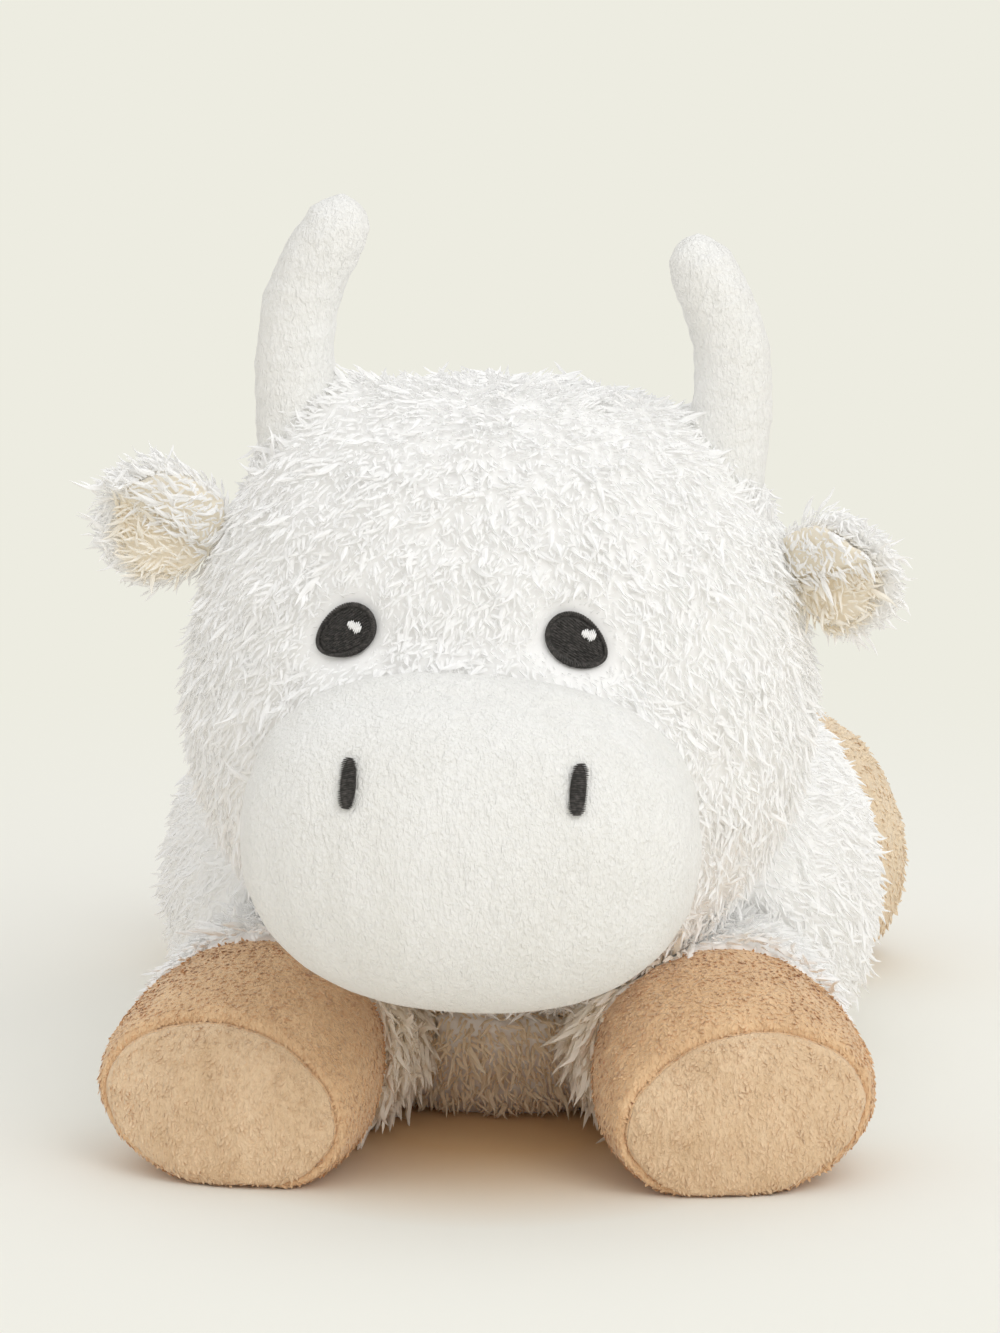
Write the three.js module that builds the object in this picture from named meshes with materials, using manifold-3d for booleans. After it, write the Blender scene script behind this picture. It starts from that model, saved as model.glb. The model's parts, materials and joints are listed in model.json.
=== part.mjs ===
// A plush buffalo lying on its belly: curly fleece covers, short-pile muzzle, horns and hooves,
// over a fibre filling.
// Millimetres, +Z up. The toy faces -Y, its own left side is +X. The origin is the middle of the flat belly.
import * as THREE from "three";
import { mergeVertices } from "three/addons/utils/BufferGeometryUtils.js";
import Module from "manifold-3d";

const wasm = await Module();
wasm.setup();

// Cloth and seams
const SEAM_GAP = 0.3;
const TURNING_GAP = 0.4;
const FLEECE_WALL = 5;
const PLUSH_WALL = 3;
const CUTTER_SIZE = 900;

// Body
const BODY_HALF_WIDTH = 111;
const BODY_HALF_LENGTH = 108;
const BODY_RISE = 86;
const BODY_LEVEL = 50;
const RUMP_NARROWING = 12;
const POUCH_HALF_WIDTH = 60;
const POUCH_HALF_LENGTH = 56;
const POUCH_HALF_HEIGHT = 20;
const POUCH_SETTLED_SHARE = 0.7;

// Head, a ball where it nests in the body, fuller at the crown and flatter at the face
const HEAD_RADIUS = 92;
const HEAD_BACK_FROM_FRONT_OF_BODY = 13;
const HEAD_HEIGHT = 130;
const HEAD_TURN_DEG = 1;
const HEAD_LEAN_DEG = 2.4;
const CROWN_RISE = 2;
const CROWN_SQUARENESS = 6;
const CROWN_START = 0.2;
const FACE_FLATNESS = 14;
const NECK_OPENING_RADIUS = 48;
const NECK_OPENING_TILT_DEG = -20;

// Muzzle dome, measured from the middle of the head
const MUZZLE_HALF_WIDTH = 67.5;
const MUZZLE_HALF_HEIGHT = 49;
const MUZZLE_HALF_DEPTH = 41;
const MUZZLE_FORWARD = 84;
const MUZZLE_DROP = 24.3;
const MUZZLE_FULLNESS = 2.3;

// Embroidered eyes and nostrils
const EYE_HALF_LENGTH = 8.8;
const EYE_HALF_HEIGHT = 7.2;
const EYE_SPACING = 67;
const EYE_SHIFT = -6.5;
const EYE_RISE = 33;
const EYE_TILT_DEG = 20;
const EYE_THICKNESS = 1.5;
const GLINT_HALF_LENGTH = 2.1;
const GLINT_HALF_HEIGHT = 1.4;
const GLINT_OFFSET_X = 3;
const GLINT_OFFSET_Z = 1.8;
const GLINT_THICKNESS = 0.8;
const NOSTRIL_HALF_WIDTH = 2.3;
const NOSTRIL_HALF_HEIGHT = 7.3;
const NOSTRIL_SPACING = 65;
const NOSTRIL_RISE_ON_MUZZLE = 24.5;
const NOSTRIL_THICKNESS = 1.4;

// Horns
const HORN_BASE_RADIUS = 13.5;
const HORN_TIP_RADIUS = 10;
const HORN_SPACING = 116;
const HORN_LENGTH_ABOVE_HEAD = 74;
const HORN_BOW = 7;
const HORN_HOOK = 12;
const LEFT_HORN_SUNK = 6;
const HORN_TAPER_POWER = 1.5;
const HORN_SMALLEST_RADIUS = 0.5;
const HORN_STATIONS = [
  { rise: 0.2, bow: 0.8, hook: 0 },
  { rise: 0.55, bow: 0.9, hook: 0 },
  { rise: 0.88, bow: 0, hook: 0.3 },
  { rise: 1, bow: 0, hook: 1 },
];

// Ears
const EAR_LENGTH = 39;
const EAR_HALF_WIDTH = 19;
const EAR_ROOT_HALF_WIDTH = 8;
const EAR_ROOT_RADIUS = 5;
const EAR_PANEL_HALF_THICKNESS = 2.3;
const EAR_CUP_DEPTH = 11;
const EAR_RISE_DEG = 30;
const EAR_DROOP_DEG = 8;
const EAR_FLAP_MAX_DEG = 24;
const LEFT_EAR_FORWARD_DEG = 30;
const EAR_FRONT_SHARE = 0.86;
const EAR_WIDEST_AT = 0.56;
const EAR_LEAF_SPREAD = 0.5;
const EAR_EDGE_THINNING = 0.1;

// Legs and hooves; the front pair lies forward, the hind pair trails behind
const FRONT_LEG = {
  half_width: 37,
  height_ratio: 0.87,
  length: 47,
  swell: 2,
  hoof_length: 47,
  hoof_half_width: 42,
  toe_half_width: 37.5,
  toe_half_height: 22,
  roll_deg: 10,
  pivot_x: 56,
  pivot_y: -78,
  heading_deg: 13,
  swing_max_deg: 20,
};
const HIND_LEG = {
  half_width: 33,
  height_ratio: 1.3,
  length: 30,
  swell: 1,
  hoof_length: 46,
  hoof_half_width: 35,
  toe_half_width: 30,
  toe_half_height: 38,
  roll_deg: 0,
  pivot_x: 56,
  pivot_y: 68,
  heading_deg: 150,
  swing_max_deg: -15,
};
const LEG_FLATTENED_BY = 1.2;
const SOLE_LEAN_DEG = 11;
const SOLE_CROWN = 8;
const SOLE_DOME_SPREAD = 1.14;
const HOOF_OVERRUN = 1.3;

// Tail
const TAIL_RADIUS = 7.5;
const TAIL_DROP = 52;
const TAIL_REACH = 44;
const TAIL_ROOT_ELEVATION_DEG = 30;
const TAIL_SEAT_DEPTH = 7;
const TAIL_STATIONS = [
  { reach: 0.5, drop: 0 },
  { reach: 0.92, drop: 0.35 },
  { reach: 1, drop: 1 },
];
const TUFT_RADIUS = 13;
const TUFT_LENGTH = 34;

// Facet counts
const BIG_FORM = { around: 24, down: 14 };
const SEAT_FORM = { around: 36, down: 20 };
const ROOM_FORM = { around: 16, down: 10 };
const INNER_FORM = { around: 12, down: 8 };
const MUZZLE_FACETS = { around: 22, down: 14 };
const SMALL_FORM = { around: 12, down: 8 };
const OVAL_SEGMENTS = 9;
const LIMB_SIDES = 16;
const LIMB_INNER_SIDES = 8;
const HORN_FACETS = { sides: 12, steps: 10 };
const HORN_INNER_FACETS = { sides: 8, steps: 6 };
const EAR_FACETS = { sides: 12, steps: 8 };
const TAIL_FACETS = { sides: 10, steps: 10 };

const HEAD_MIDDLE = new THREE.Vector3(0, HEAD_BACK_FROM_FRONT_OF_BODY - BODY_HALF_LENGTH, HEAD_HEIGHT);
const rad = THREE.MathUtils.degToRad;

// Solids: a closed geometry with merged corners becomes a manifold that can be cut and joined.
function solidOf(geometry, matrix = new THREE.Matrix4()) {
  const bare = geometry.clone();
  bare.deleteAttribute("normal");
  bare.deleteAttribute("uv");
  const merged = mergeVertices(bare, 1e-3).applyMatrix4(matrix);
  const points = merged.attributes.position.array;
  const corners = merged.index.array;
  const kept = [];
  for (let i = 0; i < corners.length; i += 3) {
    const [a, b, c] = corners.slice(i, i + 3);
    if (a !== b && b !== c && c !== a) {
      kept.push(a, b, c);
    }
  }
  const triangles = signedVolume(points, kept) < 0 ? kept.reverse() : kept;
  const mesh = new wasm.Mesh({
    numProp: 3,
    vertProperties: Float32Array.from(points),
    triVerts: Uint32Array.from(triangles),
  });
  return new wasm.Manifold(mesh);
}

function signedVolume(points, triangles) {
  const corner = [new THREE.Vector3(), new THREE.Vector3(), new THREE.Vector3()];
  let total = 0;
  for (let i = 0; i < triangles.length; i += 3) {
    corner.forEach((point, k) => point.fromArray(points, triangles[i + k] * 3));
    total += corner[0].dot(corner[1].clone().cross(corner[2])) / 6;
  }
  return total;
}

function geometryOf(solid) {
  const mesh = solid.getMesh();
  const geometry = new THREE.BufferGeometry();
  geometry.setAttribute("position", new THREE.BufferAttribute(mesh.vertProperties, 3));
  geometry.setIndex(new THREE.BufferAttribute(mesh.triVerts, 1));
  geometry.computeVertexNormals();
  return geometry;
}

function moved(solid, matrix) {
  return solid.transform(matrix.elements);
}

// A ball whose reach is set for each direction from its middle, with its poles on Z.
function stuffedForm(reachToward, { around, down } = BIG_FORM) {
  const ball = new THREE.SphereGeometry(1, around, down).rotateX(Math.PI / 2);
  const points = ball.attributes.position;
  const direction = new THREE.Vector3();
  for (let i = 0; i < points.count; i += 1) {
    direction.fromBufferAttribute(points, i).normalize();
    direction.multiplyScalar(reachToward(direction));
    points.setXYZ(i, direction.x, direction.y, direction.z);
  }
  return solidOf(ball);
}

// A turning seat: a ball wide enough that its flat facets still clear a ball of the given radius.
function seatBall(radius, middle, { around, down }) {
  const outer = radius / Math.cos(Math.PI / around) / Math.cos(Math.PI / down / 2);
  return moved(stuffedForm(() => outer, { around, down }), new THREE.Matrix4().setPosition(middle));
}

// Everything on the far side of a plane through a point.
function halfSpace(point, normal) {
  const turn = new THREE.Quaternion().setFromUnitVectors(new THREE.Vector3(0, 0, 1), normal);
  const middle = point.clone().addScaledVector(normal, CUTTER_SIZE / 2);
  const place = new THREE.Matrix4().compose(middle, turn, new THREE.Vector3(1, 1, 1));
  return solidOf(new THREE.BoxGeometry(CUTTER_SIZE, CUTTER_SIZE, CUTTER_SIZE), place);
}

function below(height) {
  return halfSpace(new THREE.Vector3(0, 0, height), new THREE.Vector3(0, 0, -1));
}

// Rings strung along a spine, oval across it, drawn to a point at both ends.
function loftedForm(spine, halfWidthAt, halfThicknessAt, across, { sides, steps, bend = () => 0 }) {
  const points = [];
  const triangles = [];
  for (let i = 0; i <= steps; i += 1) {
    const along = (1 - Math.cos((Math.PI * i) / steps)) / 2;
    const centre = spine.getPointAt(along);
    const tangent = spine.getTangentAt(along);
    const thick = tangent.clone().cross(across).normalize();
    const wide = thick.clone().cross(tangent);
    const atEnd = i === 0 || i === steps;
    for (let j = 0; j < (atEnd ? 1 : sides); j += 1) {
      const turn = (2 * Math.PI * j) / sides;
      const w = atEnd ? 0 : halfWidthAt(along) * Math.cos(turn);
      const h = atEnd ? 0 : halfThicknessAt(along) * Math.sin(turn);
      const point = centre.clone().addScaledVector(wide, w).addScaledVector(thick, h + bend(w, along));
      points.push(point.x, point.y, point.z);
    }
  }
  const ringStart = (i) => (i === 0 ? 0 : 1 + (i - 1) * sides);
  for (let i = 0; i < steps; i += 1) {
    for (let j = 0; j < sides; j += 1) {
      const next = (j + 1) % sides;
      const here = ringStart(i);
      const there = ringStart(i + 1);
      if (i > 0) {
        triangles.push(here + j, here + next, i + 1 === steps ? there : there + j);
      }
      if (i + 1 < steps) {
        triangles.push(i === 0 ? 0 : here + next, there + next, there + j);
      }
    }
  }
  const geometry = new THREE.BufferGeometry();
  geometry.setAttribute("position", new THREE.Float32BufferAttribute(points, 3));
  geometry.setIndex(triangles);
  return solidOf(geometry);
}

// An oval prism that runs along -Y from a start, for cutting a sewn patch out of a layer over a form.
function ovalPrism(halfWidth, halfHeight, start, tiltDeg) {
  const outline = new THREE.Shape();
  outline.absellipse(0, 0, halfWidth, halfHeight, 0, 2 * Math.PI);
  const run = { depth: CUTTER_SIZE, bevelEnabled: false, curveSegments: OVAL_SEGMENTS };
  const prism = new THREE.ExtrudeGeometry(outline, run);
  prism.rotateZ(rad(tiltDeg)).rotateX(Math.PI / 2).translate(start.x, start.y, start.z);
  return solidOf(prism);
}

// Cloth colours
function cloth(color, roughness) {
  return new THREE.MeshStandardMaterial({ color, roughness, metalness: 0 });
}
const FLEECE = () => cloth(0xf0efea, 0.95);
const PLUSH = () => cloth(0xf2f1ea, 0.85);
const HOOF_PLUSH = () => cloth(0xcfa67c, 0.85);
const BLACK_THREAD = () => cloth(0x2b2826, 0.45);
const WHITE_THREAD = () => cloth(0xf4f2ec, 0.5);
const FIBRE = () => cloth(0xf7f7f5, 1);
const POUCH_CLOTH = () => cloth(0xd9cfba, 0.9);

function addPiece(group, name, solid, material) {
  const piece = new THREE.Mesh(geometryOf(solid), material);
  piece.name = name;
  group.add(piece);
}

// Reach of each big form from its middle, drawn in by an inset
function ovalReach(direction, a, b, c, power = 2) {
  const sum = (Math.abs(direction.x) / a) ** power + (Math.abs(direction.y) / b) ** power
    + (Math.abs(direction.z) / c) ** power;
  return sum ** (-1 / power);
}

function bodyReach(direction, inset) {
  const narrowing = RUMP_NARROWING * Math.max(0, direction.y) ** 2;
  const halfWidth = BODY_HALF_WIDTH - narrowing - inset;
  return ovalReach(direction, halfWidth, BODY_HALF_LENGTH - inset, BODY_RISE - inset);
}

function headReach(direction, inset) {
  const high = Math.max(0, direction.z - CROWN_START) / (1 - CROWN_START);
  const corner = 4 * direction.x ** 2 * high;
  const front = Math.max(0, -direction.y);
  return HEAD_RADIUS - inset + CROWN_RISE * high ** 2 + CROWN_SQUARENESS * corner * high
    - FACE_FLATNESS * front ** 2;
}

function muzzleReach(direction, inset) {
  return ovalReach(direction, MUZZLE_HALF_WIDTH - inset, MUZZLE_HALF_DEPTH - inset,
    MUZZLE_HALF_HEIGHT - inset, MUZZLE_FULLNESS);
}

function bodyForm(inset, facets) {
  const form = stuffedForm((direction) => bodyReach(direction, inset), facets);
  const lifted = moved(form, new THREE.Matrix4().setPosition(0, 0, BODY_LEVEL));
  return lifted.subtract(below(Math.max(inset, 0)));
}

function headForm(inset, facets) {
  return stuffedForm((direction) => headReach(direction, inset), facets);
}

function muzzleForm(inset, facets) {
  const form = stuffedForm((direction) => muzzleReach(direction, inset), facets);
  return moved(form, new THREE.Matrix4().setPosition(0, -MUZZLE_FORWARD, -MUZZLE_DROP));
}

// A limb in its own frame: the root ball is round the origin, the leg runs along -Y and lies on the floor.
function axisHeight(leg) {
  return leg.half_width * leg.height_ratio - LEG_FLATTENED_BY;
}

function legProfile(leg, inset, extra) {
  const root = leg.half_width - inset;
  const arc = 5;
  const steps = 3;
  const profile = [];
  for (let i = 0; i < arc; i += 1) {
    const turn = (Math.PI / 2) * (i / arc);
    profile.push(new THREE.Vector2(root * Math.sin(turn), root * Math.cos(turn)));
  }
  for (let i = 0; i <= steps; i += 1) {
    const along = i / steps;
    profile.push(new THREE.Vector2(root + leg.swell * Math.sin(Math.PI * along), -leg.length * along));
  }
  if (extra > 0) {
    profile.push(new THREE.Vector2(root, -leg.length - extra));
  }
  profile.push(new THREE.Vector2(0, -leg.length - extra));
  return profile;
}

// The hoof swells past its seam and tapers to the toe; stations run from the seam to past the toe.
function hoofProfile(leg, inset, before) {
  const start = leg.length + SEAM_GAP;
  const steps = 6;
  const profile = [new THREE.Vector2(0, before - start)];
  if (before > 0) {
    profile.push(new THREE.Vector2(leg.half_width - inset, before - start));
  }
  for (let i = 0; i <= steps; i += 1) {
    const along = (i / steps) * HOOF_OVERRUN;
    const swell = (leg.hoof_half_width - leg.half_width) * Math.sin(Math.PI * Math.min(along, 1));
    const taper = (leg.half_width - leg.toe_half_width) * along ** 2;
    const radius = leg.half_width + swell - taper - inset;
    profile.push(new THREE.Vector2(radius, -start - leg.hoof_length * along));
  }
  profile.push(new THREE.Vector2(0, -start - leg.hoof_length * HOOF_OVERRUN));
  return profile;
}

// Height of the hoof's middle over the leg's axis, and its height ratio, from the seam (0) to the toe (1)
function hoofSection(leg, along) {
  const toeRatio = leg.toe_half_height / leg.toe_half_width;
  const toeMiddle = leg.toe_half_height - LEG_FLATTENED_BY - axisHeight(leg);
  return {
    middle: toeMiddle * along,
    ratio: THREE.MathUtils.lerp(leg.height_ratio, toeRatio, along),
    roll: rad(leg.roll_deg) * along,
  };
}

// A turned profile is squeezed to the limb's height; past the seam it sinks, flattens and rolls to the toe.
function limbForm(leg, side, profile, inset, sides) {
  const lathe = new THREE.LatheGeometry(profile, sides).rotateY(Math.PI / sides);
  const points = lathe.attributes.position;
  for (let i = 0; i < points.count; i += 1) {
    const along = THREE.MathUtils.clamp((-points.getY(i) - leg.length) / leg.hoof_length, 0, HOOF_OVERRUN);
    const { middle, ratio, roll } = hoofSection(leg, along);
    const x = points.getX(i);
    const z = points.getZ(i) * ratio;
    const turn = side * roll;
    const rolledX = x * Math.cos(turn) - z * Math.sin(turn);
    const rolledZ = x * Math.sin(turn) + z * Math.cos(turn);
    points.setXYZ(i, rolledX, points.getY(i), rolledZ + middle);
  }
  return solidOf(lathe).subtract(below(Math.max(inset, 0) - axisHeight(leg)));
}

function solePlane(leg, shift) {
  const lean = rad(SOLE_LEAN_DEG);
  const normal = new THREE.Vector3(0, -Math.cos(lean), Math.sin(lean));
  const toe = new THREE.Vector3(0, -leg.length - leg.hoof_length, -axisHeight(leg));
  return { point: toe.addScaledVector(normal, shift), normal };
}

function inFrontOfSole(leg, shift) {
  const { point, normal } = solePlane(leg, shift);
  return halfSpace(point, normal);
}

function behindSole(leg, shift) {
  const { point, normal } = solePlane(leg, shift);
  return halfSpace(point, normal.clone().negate());
}

// The sole panel keeps the hoof's own outline at the seam and is rounded off in front by a shallow dome.
function soleForm(leg, side, hoof) {
  const lean = rad(SOLE_LEAN_DEG);
  const { middle, roll } = hoofSection(leg, 1);
  const width = leg.toe_half_width * SOLE_DOME_SPREAD;
  const height = (leg.toe_half_height * SOLE_DOME_SPREAD) / Math.cos(lean);
  const dome = stuffedForm((d) => ovalReach(d, width, SOLE_CROWN, height), INNER_FORM);
  const rolled = moved(dome, new THREE.Matrix4().makeRotationY(-side * roll));
  const back = -leg.length - leg.hoof_length + (axisHeight(leg) + middle) * Math.tan(lean);
  const place = new THREE.Matrix4().makeRotationX(-lean).setPosition(0, back, middle);
  return moved(rolled, place).subtract(behindSole(leg, SEAM_GAP)).intersect(hoof);
}

function limbPlace(leg, side, swingDeg = 0) {
  const turn = new THREE.Matrix4().makeRotationZ(rad(side * (leg.heading_deg + swingDeg)));
  return turn.setPosition(side * leg.pivot_x, leg.pivot_y, axisHeight(leg));
}

// Room that a limb's root ball and sleeve need in the body at both ends of its swing
function limbRoom(leg, side, allowance) {
  const squeeze = new THREE.Matrix4().makeScale(1, 1, leg.height_ratio);
  const radius = leg.half_width + leg.swell + allowance;
  const root = moved(seatBall(leg.half_width + allowance, new THREE.Vector3(), ROOM_FORM), squeeze);
  const outer = radius / Math.cos(Math.PI / LIMB_SIDES);
  const sleeve = new THREE.CylinderGeometry(outer, outer, leg.length, LIMB_SIDES);
  sleeve.translate(0, -leg.length / 2, 0).rotateY(Math.PI / LIMB_SIDES);
  const tube = solidOf(sleeve, squeeze);
  const swept = [0, leg.swing_max_deg].map((swing) => moved(tube, limbPlace(leg, side, swing)));
  return swept.reduce((all, one) => all.add(one), moved(root, limbPlace(leg, side)));
}

// Room that the nested head needs in a limb, seen from the limb at each part of its swing
function headRoomInLimb(leg, side) {
  const stops = [0, 0.5, 1].map((share) => share * leg.swing_max_deg);
  const balls = stops.map((swing) => {
    const middle = HEAD_MIDDLE.clone().applyMatrix4(limbPlace(leg, side, swing).invert());
    return seatBall(HEAD_RADIUS + TURNING_GAP, middle, ROOM_FORM);
  });
  return balls.reduce((all, one) => all.add(one));
}

const SIDES = [
  { word: "left", side: 1, hornSunk: LEFT_HORN_SUNK, earForwardDeg: LEFT_EAR_FORWARD_DEG },
  { word: "right", side: -1, hornSunk: 0, earForwardDeg: 0 },
];
const LIMBS = [
  { word: "front", leg: FRONT_LEG },
  { word: "hind", leg: HIND_LEG },
];

const buffalo = new THREE.Group();

// Body cover with its pockets for head, legs and tail, filling and grain pouch
function tailRoot() {
  const elevation = rad(TAIL_ROOT_ELEVATION_DEG);
  const direction = new THREE.Vector3(0, Math.cos(elevation), Math.sin(elevation));
  const point = direction.multiplyScalar(bodyReach(direction, 0));
  return point.add(new THREE.Vector3(0, -TAIL_SEAT_DEPTH, BODY_LEVEL));
}

function tailSeat(allowance) {
  const depth = 2 * TAIL_SEAT_DEPTH + TAIL_REACH;
  const radius = (TAIL_RADIUS + TURNING_GAP + allowance) / Math.cos(Math.PI / LIMB_SIDES);
  const seat = new THREE.CylinderGeometry(radius, radius, depth, LIMB_SIDES);
  const root = tailRoot();
  return solidOf(seat.translate(root.x, root.y - allowance + depth / 2, root.z));
}

function rooms(allowance) {
  const around = TURNING_GAP + allowance;
  const limbs = LIMBS.flatMap(({ leg }) => SIDES.map(({ side }) => limbRoom(leg, side, around)));
  const head = seatBall(HEAD_RADIUS + around, HEAD_MIDDLE, SEAT_FORM);
  return [...limbs, head, tailSeat(allowance)];
}

function withoutRooms(solid, allowance) {
  return rooms(allowance).reduce((left, room) => left.subtract(room), solid);
}

function pouchForm(allowance) {
  const form = stuffedForm((d) => ovalReach(d, POUCH_HALF_WIDTH + allowance, POUCH_HALF_LENGTH + allowance,
    POUCH_HALF_HEIGHT + allowance), INNER_FORM);
  const floor = FLEECE_WALL + SEAM_GAP;
  const middle = floor + POUCH_HALF_HEIGHT * POUCH_SETTLED_SHARE;
  const lifted = moved(form, new THREE.Matrix4().setPosition(0, 0, middle));
  return allowance > 0 ? lifted : lifted.subtract(below(floor));
}

const filling = FLEECE_WALL + SEAM_GAP;
const bodyShell = bodyForm(0).subtract(bodyForm(FLEECE_WALL, INNER_FORM));
addPiece(buffalo, "body_cover", withoutRooms(bodyShell, 0), FLEECE());
const bodyCore = withoutRooms(bodyForm(filling, INNER_FORM), SEAM_GAP);
addPiece(buffalo, "body_stuffing", bodyCore.subtract(pouchForm(SEAM_GAP)), FIBRE());
addPiece(buffalo, "belly_grain_pouch", pouchForm(0), POUCH_CLOTH());

// Head group, turned and leaning a little as the sewn head sits
const head = new THREE.Group();
head.position.copy(HEAD_MIDDLE);
head.rotation.set(0, rad(HEAD_LEAN_DEG), rad(-HEAD_TURN_DEG));
buffalo.add(head);

function neckOpening() {
  const radius = NECK_OPENING_RADIUS;
  const tunnel = new THREE.CylinderGeometry(radius, radius, HEAD_RADIUS, LIMB_SIDES);
  return solidOf(tunnel.translate(0, HEAD_RADIUS, 0).rotateX(rad(NECK_OPENING_TILT_DEG)));
}

const skull = headForm(-SEAM_GAP);
const headShell = headForm(0).subtract(headForm(FLEECE_WALL, INNER_FORM));
addPiece(head, "head_cover", headShell.subtract(neckOpening()), FLEECE());
addPiece(head, "head_stuffing", headForm(filling, INNER_FORM), FIBRE());

const muzzleFill = PLUSH_WALL + SEAM_GAP;
const muzzleShell = muzzleForm(0, MUZZLE_FACETS).subtract(muzzleForm(PLUSH_WALL, INNER_FORM));
addPiece(head, "muzzle_cover", muzzleShell.subtract(skull), PLUSH());
addPiece(head, "muzzle_stuffing", muzzleForm(muzzleFill, INNER_FORM).subtract(skull), FIBRE());

// A sewn patch: the layer between two offsets of a form, inside an oval
function patch(form, inner, thickness, oval) {
  return form(-inner - thickness).intersect(oval).subtract(form(-inner));
}

const muzzleLayer = (inset) => muzzleForm(inset, MUZZLE_FACETS);
SIDES.forEach(({ word, side }) => {
  const eye = new THREE.Vector3((side * EYE_SPACING) / 2 + EYE_SHIFT, 0, EYE_RISE);
  const eyeOval = ovalPrism(EYE_HALF_LENGTH, EYE_HALF_HEIGHT, eye, -side * EYE_TILT_DEG);
  addPiece(head, `eye_${word}`, patch(headForm, SEAM_GAP, EYE_THICKNESS, eyeOval), BLACK_THREAD());
  const glint = eye.clone().add(new THREE.Vector3(GLINT_OFFSET_X, 0, GLINT_OFFSET_Z));
  const glintOval = ovalPrism(GLINT_HALF_LENGTH, GLINT_HALF_HEIGHT, glint, 0);
  const glintBase = EYE_THICKNESS + 2 * SEAM_GAP;
  addPiece(head, `eye_glint_${word}`, patch(headForm, glintBase, GLINT_THICKNESS, glintOval), WHITE_THREAD());
  const nostril = new THREE.Vector3((side * NOSTRIL_SPACING) / 2, -MUZZLE_FORWARD,
    NOSTRIL_RISE_ON_MUZZLE - MUZZLE_DROP);
  const nostrilOval = ovalPrism(NOSTRIL_HALF_WIDTH, NOSTRIL_HALF_HEIGHT, nostril, 0);
  const nostrilPatch = patch(muzzleLayer, SEAM_GAP, NOSTRIL_THICKNESS, nostrilOval);
  addPiece(head, `nostril_${word}`, nostrilPatch, BLACK_THREAD());
});

// Horns, bowed out and hooked in, standing on the crown
function hornSpine({ side, hornSunk }) {
  const x = HORN_SPACING / 2;
  const foot = Math.sqrt(HEAD_RADIUS ** 2 - x ** 2) - hornSunk;
  const stations = HORN_STATIONS.map(({ rise, bow, hook }) => {
    const out = x + HORN_BOW * bow - HORN_HOOK * hook;
    return new THREE.Vector3(side * out, 0, foot + HORN_LENGTH_ABOVE_HEAD * rise);
  });
  const insideHead = new THREE.Vector3(side * x, 0, foot - 2 * HORN_BASE_RADIUS);
  return new THREE.CatmullRomCurve3([insideHead, ...stations]);
}

function hornForm(horn, inset, facets) {
  const spine = hornSpine(horn);
  const length = spine.getLength();
  const radiusAt = (along) => {
    const full = THREE.MathUtils.lerp(HORN_BASE_RADIUS, HORN_TIP_RADIUS, along ** HORN_TAPER_POWER);
    const toTip = (1 - along) * length;
    const roundness = Math.sqrt(Math.max(0, 1 - Math.max(0, 1 - toTip / HORN_TIP_RADIUS) ** 2));
    return Math.max(full * roundness - inset, HORN_SMALLEST_RADIUS);
  };
  return loftedForm(spine, radiusAt, radiusAt, new THREE.Vector3(0, 1, 0), facets);
}

SIDES.forEach((horn) => {
  const shell = hornForm(horn, 0, HORN_FACETS).subtract(hornForm(horn, PLUSH_WALL, HORN_INNER_FACETS));
  addPiece(head, `horn_${horn.word}_cover`, shell.subtract(skull), PLUSH());
  const fill = hornForm(horn, PLUSH_WALL + SEAM_GAP, HORN_INNER_FACETS);
  addPiece(head, `horn_${horn.word}_stuffing`, fill.subtract(skull), FIBRE());
});

// Ears: a cupped fleece back with a front panel nested in it, flapping about a seam on the head's side
function earRoot(side) {
  const rise = rad(EAR_RISE_DEG);
  const direction = new THREE.Vector3(side * Math.cos(rise), 0, Math.sin(rise));
  return direction.clone().multiplyScalar(headReach(direction, 0) + EAR_ROOT_RADIUS);
}

function earSeam(side) {
  const rise = rad(EAR_RISE_DEG);
  return new THREE.Vector3(-side * Math.sin(rise), 0, Math.cos(rise));
}

// The room that the head takes up beside an ear, at both ends of the ear's flap and at rest
function headRoomInEar(side, restTurn) {
  const toEar = new THREE.Matrix4().setPosition(earRoot(side).negate());
  const headHere = moved(headForm(-TURNING_GAP), toEar);
  const flaps = [0, 0.5, 1, -0.5, -1].map((share) => rad(share * EAR_FLAP_MAX_DEG) - restTurn);
  const seam = earSeam(side);
  const turned = flaps.map((flap) => moved(headHere, new THREE.Matrix4().makeRotationAxis(seam, flap)));
  return turned.reduce((all, one) => all.add(one));
}

function earPanel(side, share, offset) {
  const droop = rad(EAR_DROOP_DEG);
  const outward = new THREE.Vector3(side * Math.cos(droop), 0, -Math.sin(droop));
  const start = outward.clone().multiplyScalar(-EAR_ROOT_RADIUS);
  const spine = new THREE.LineCurve3(start, start.clone().addScaledVector(outward, EAR_LENGTH * share));
  const widthAt = (along) => {
    const leaf = Math.sqrt(Math.max(0, 1 - ((along - EAR_WIDEST_AT) / EAR_LEAF_SPREAD) ** 2));
    return Math.max(EAR_HALF_WIDTH * share * leaf, EAR_ROOT_HALF_WIDTH * (1 - along));
  };
  const thicknessAt = (along) => {
    const fullness = Math.max(EAR_EDGE_THINNING, 4 * along * (1 - along));
    return EAR_PANEL_HALF_THICKNESS * Math.sqrt(fullness);
  };
  const cup = (w, along) => side * (EAR_CUP_DEPTH * along * (w / EAR_HALF_WIDTH) ** 2 + offset);
  const across = new THREE.Vector3(0, 0, 1);
  return loftedForm(spine, widthAt, thicknessAt, across, { ...EAR_FACETS, bend: cup });
}

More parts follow.
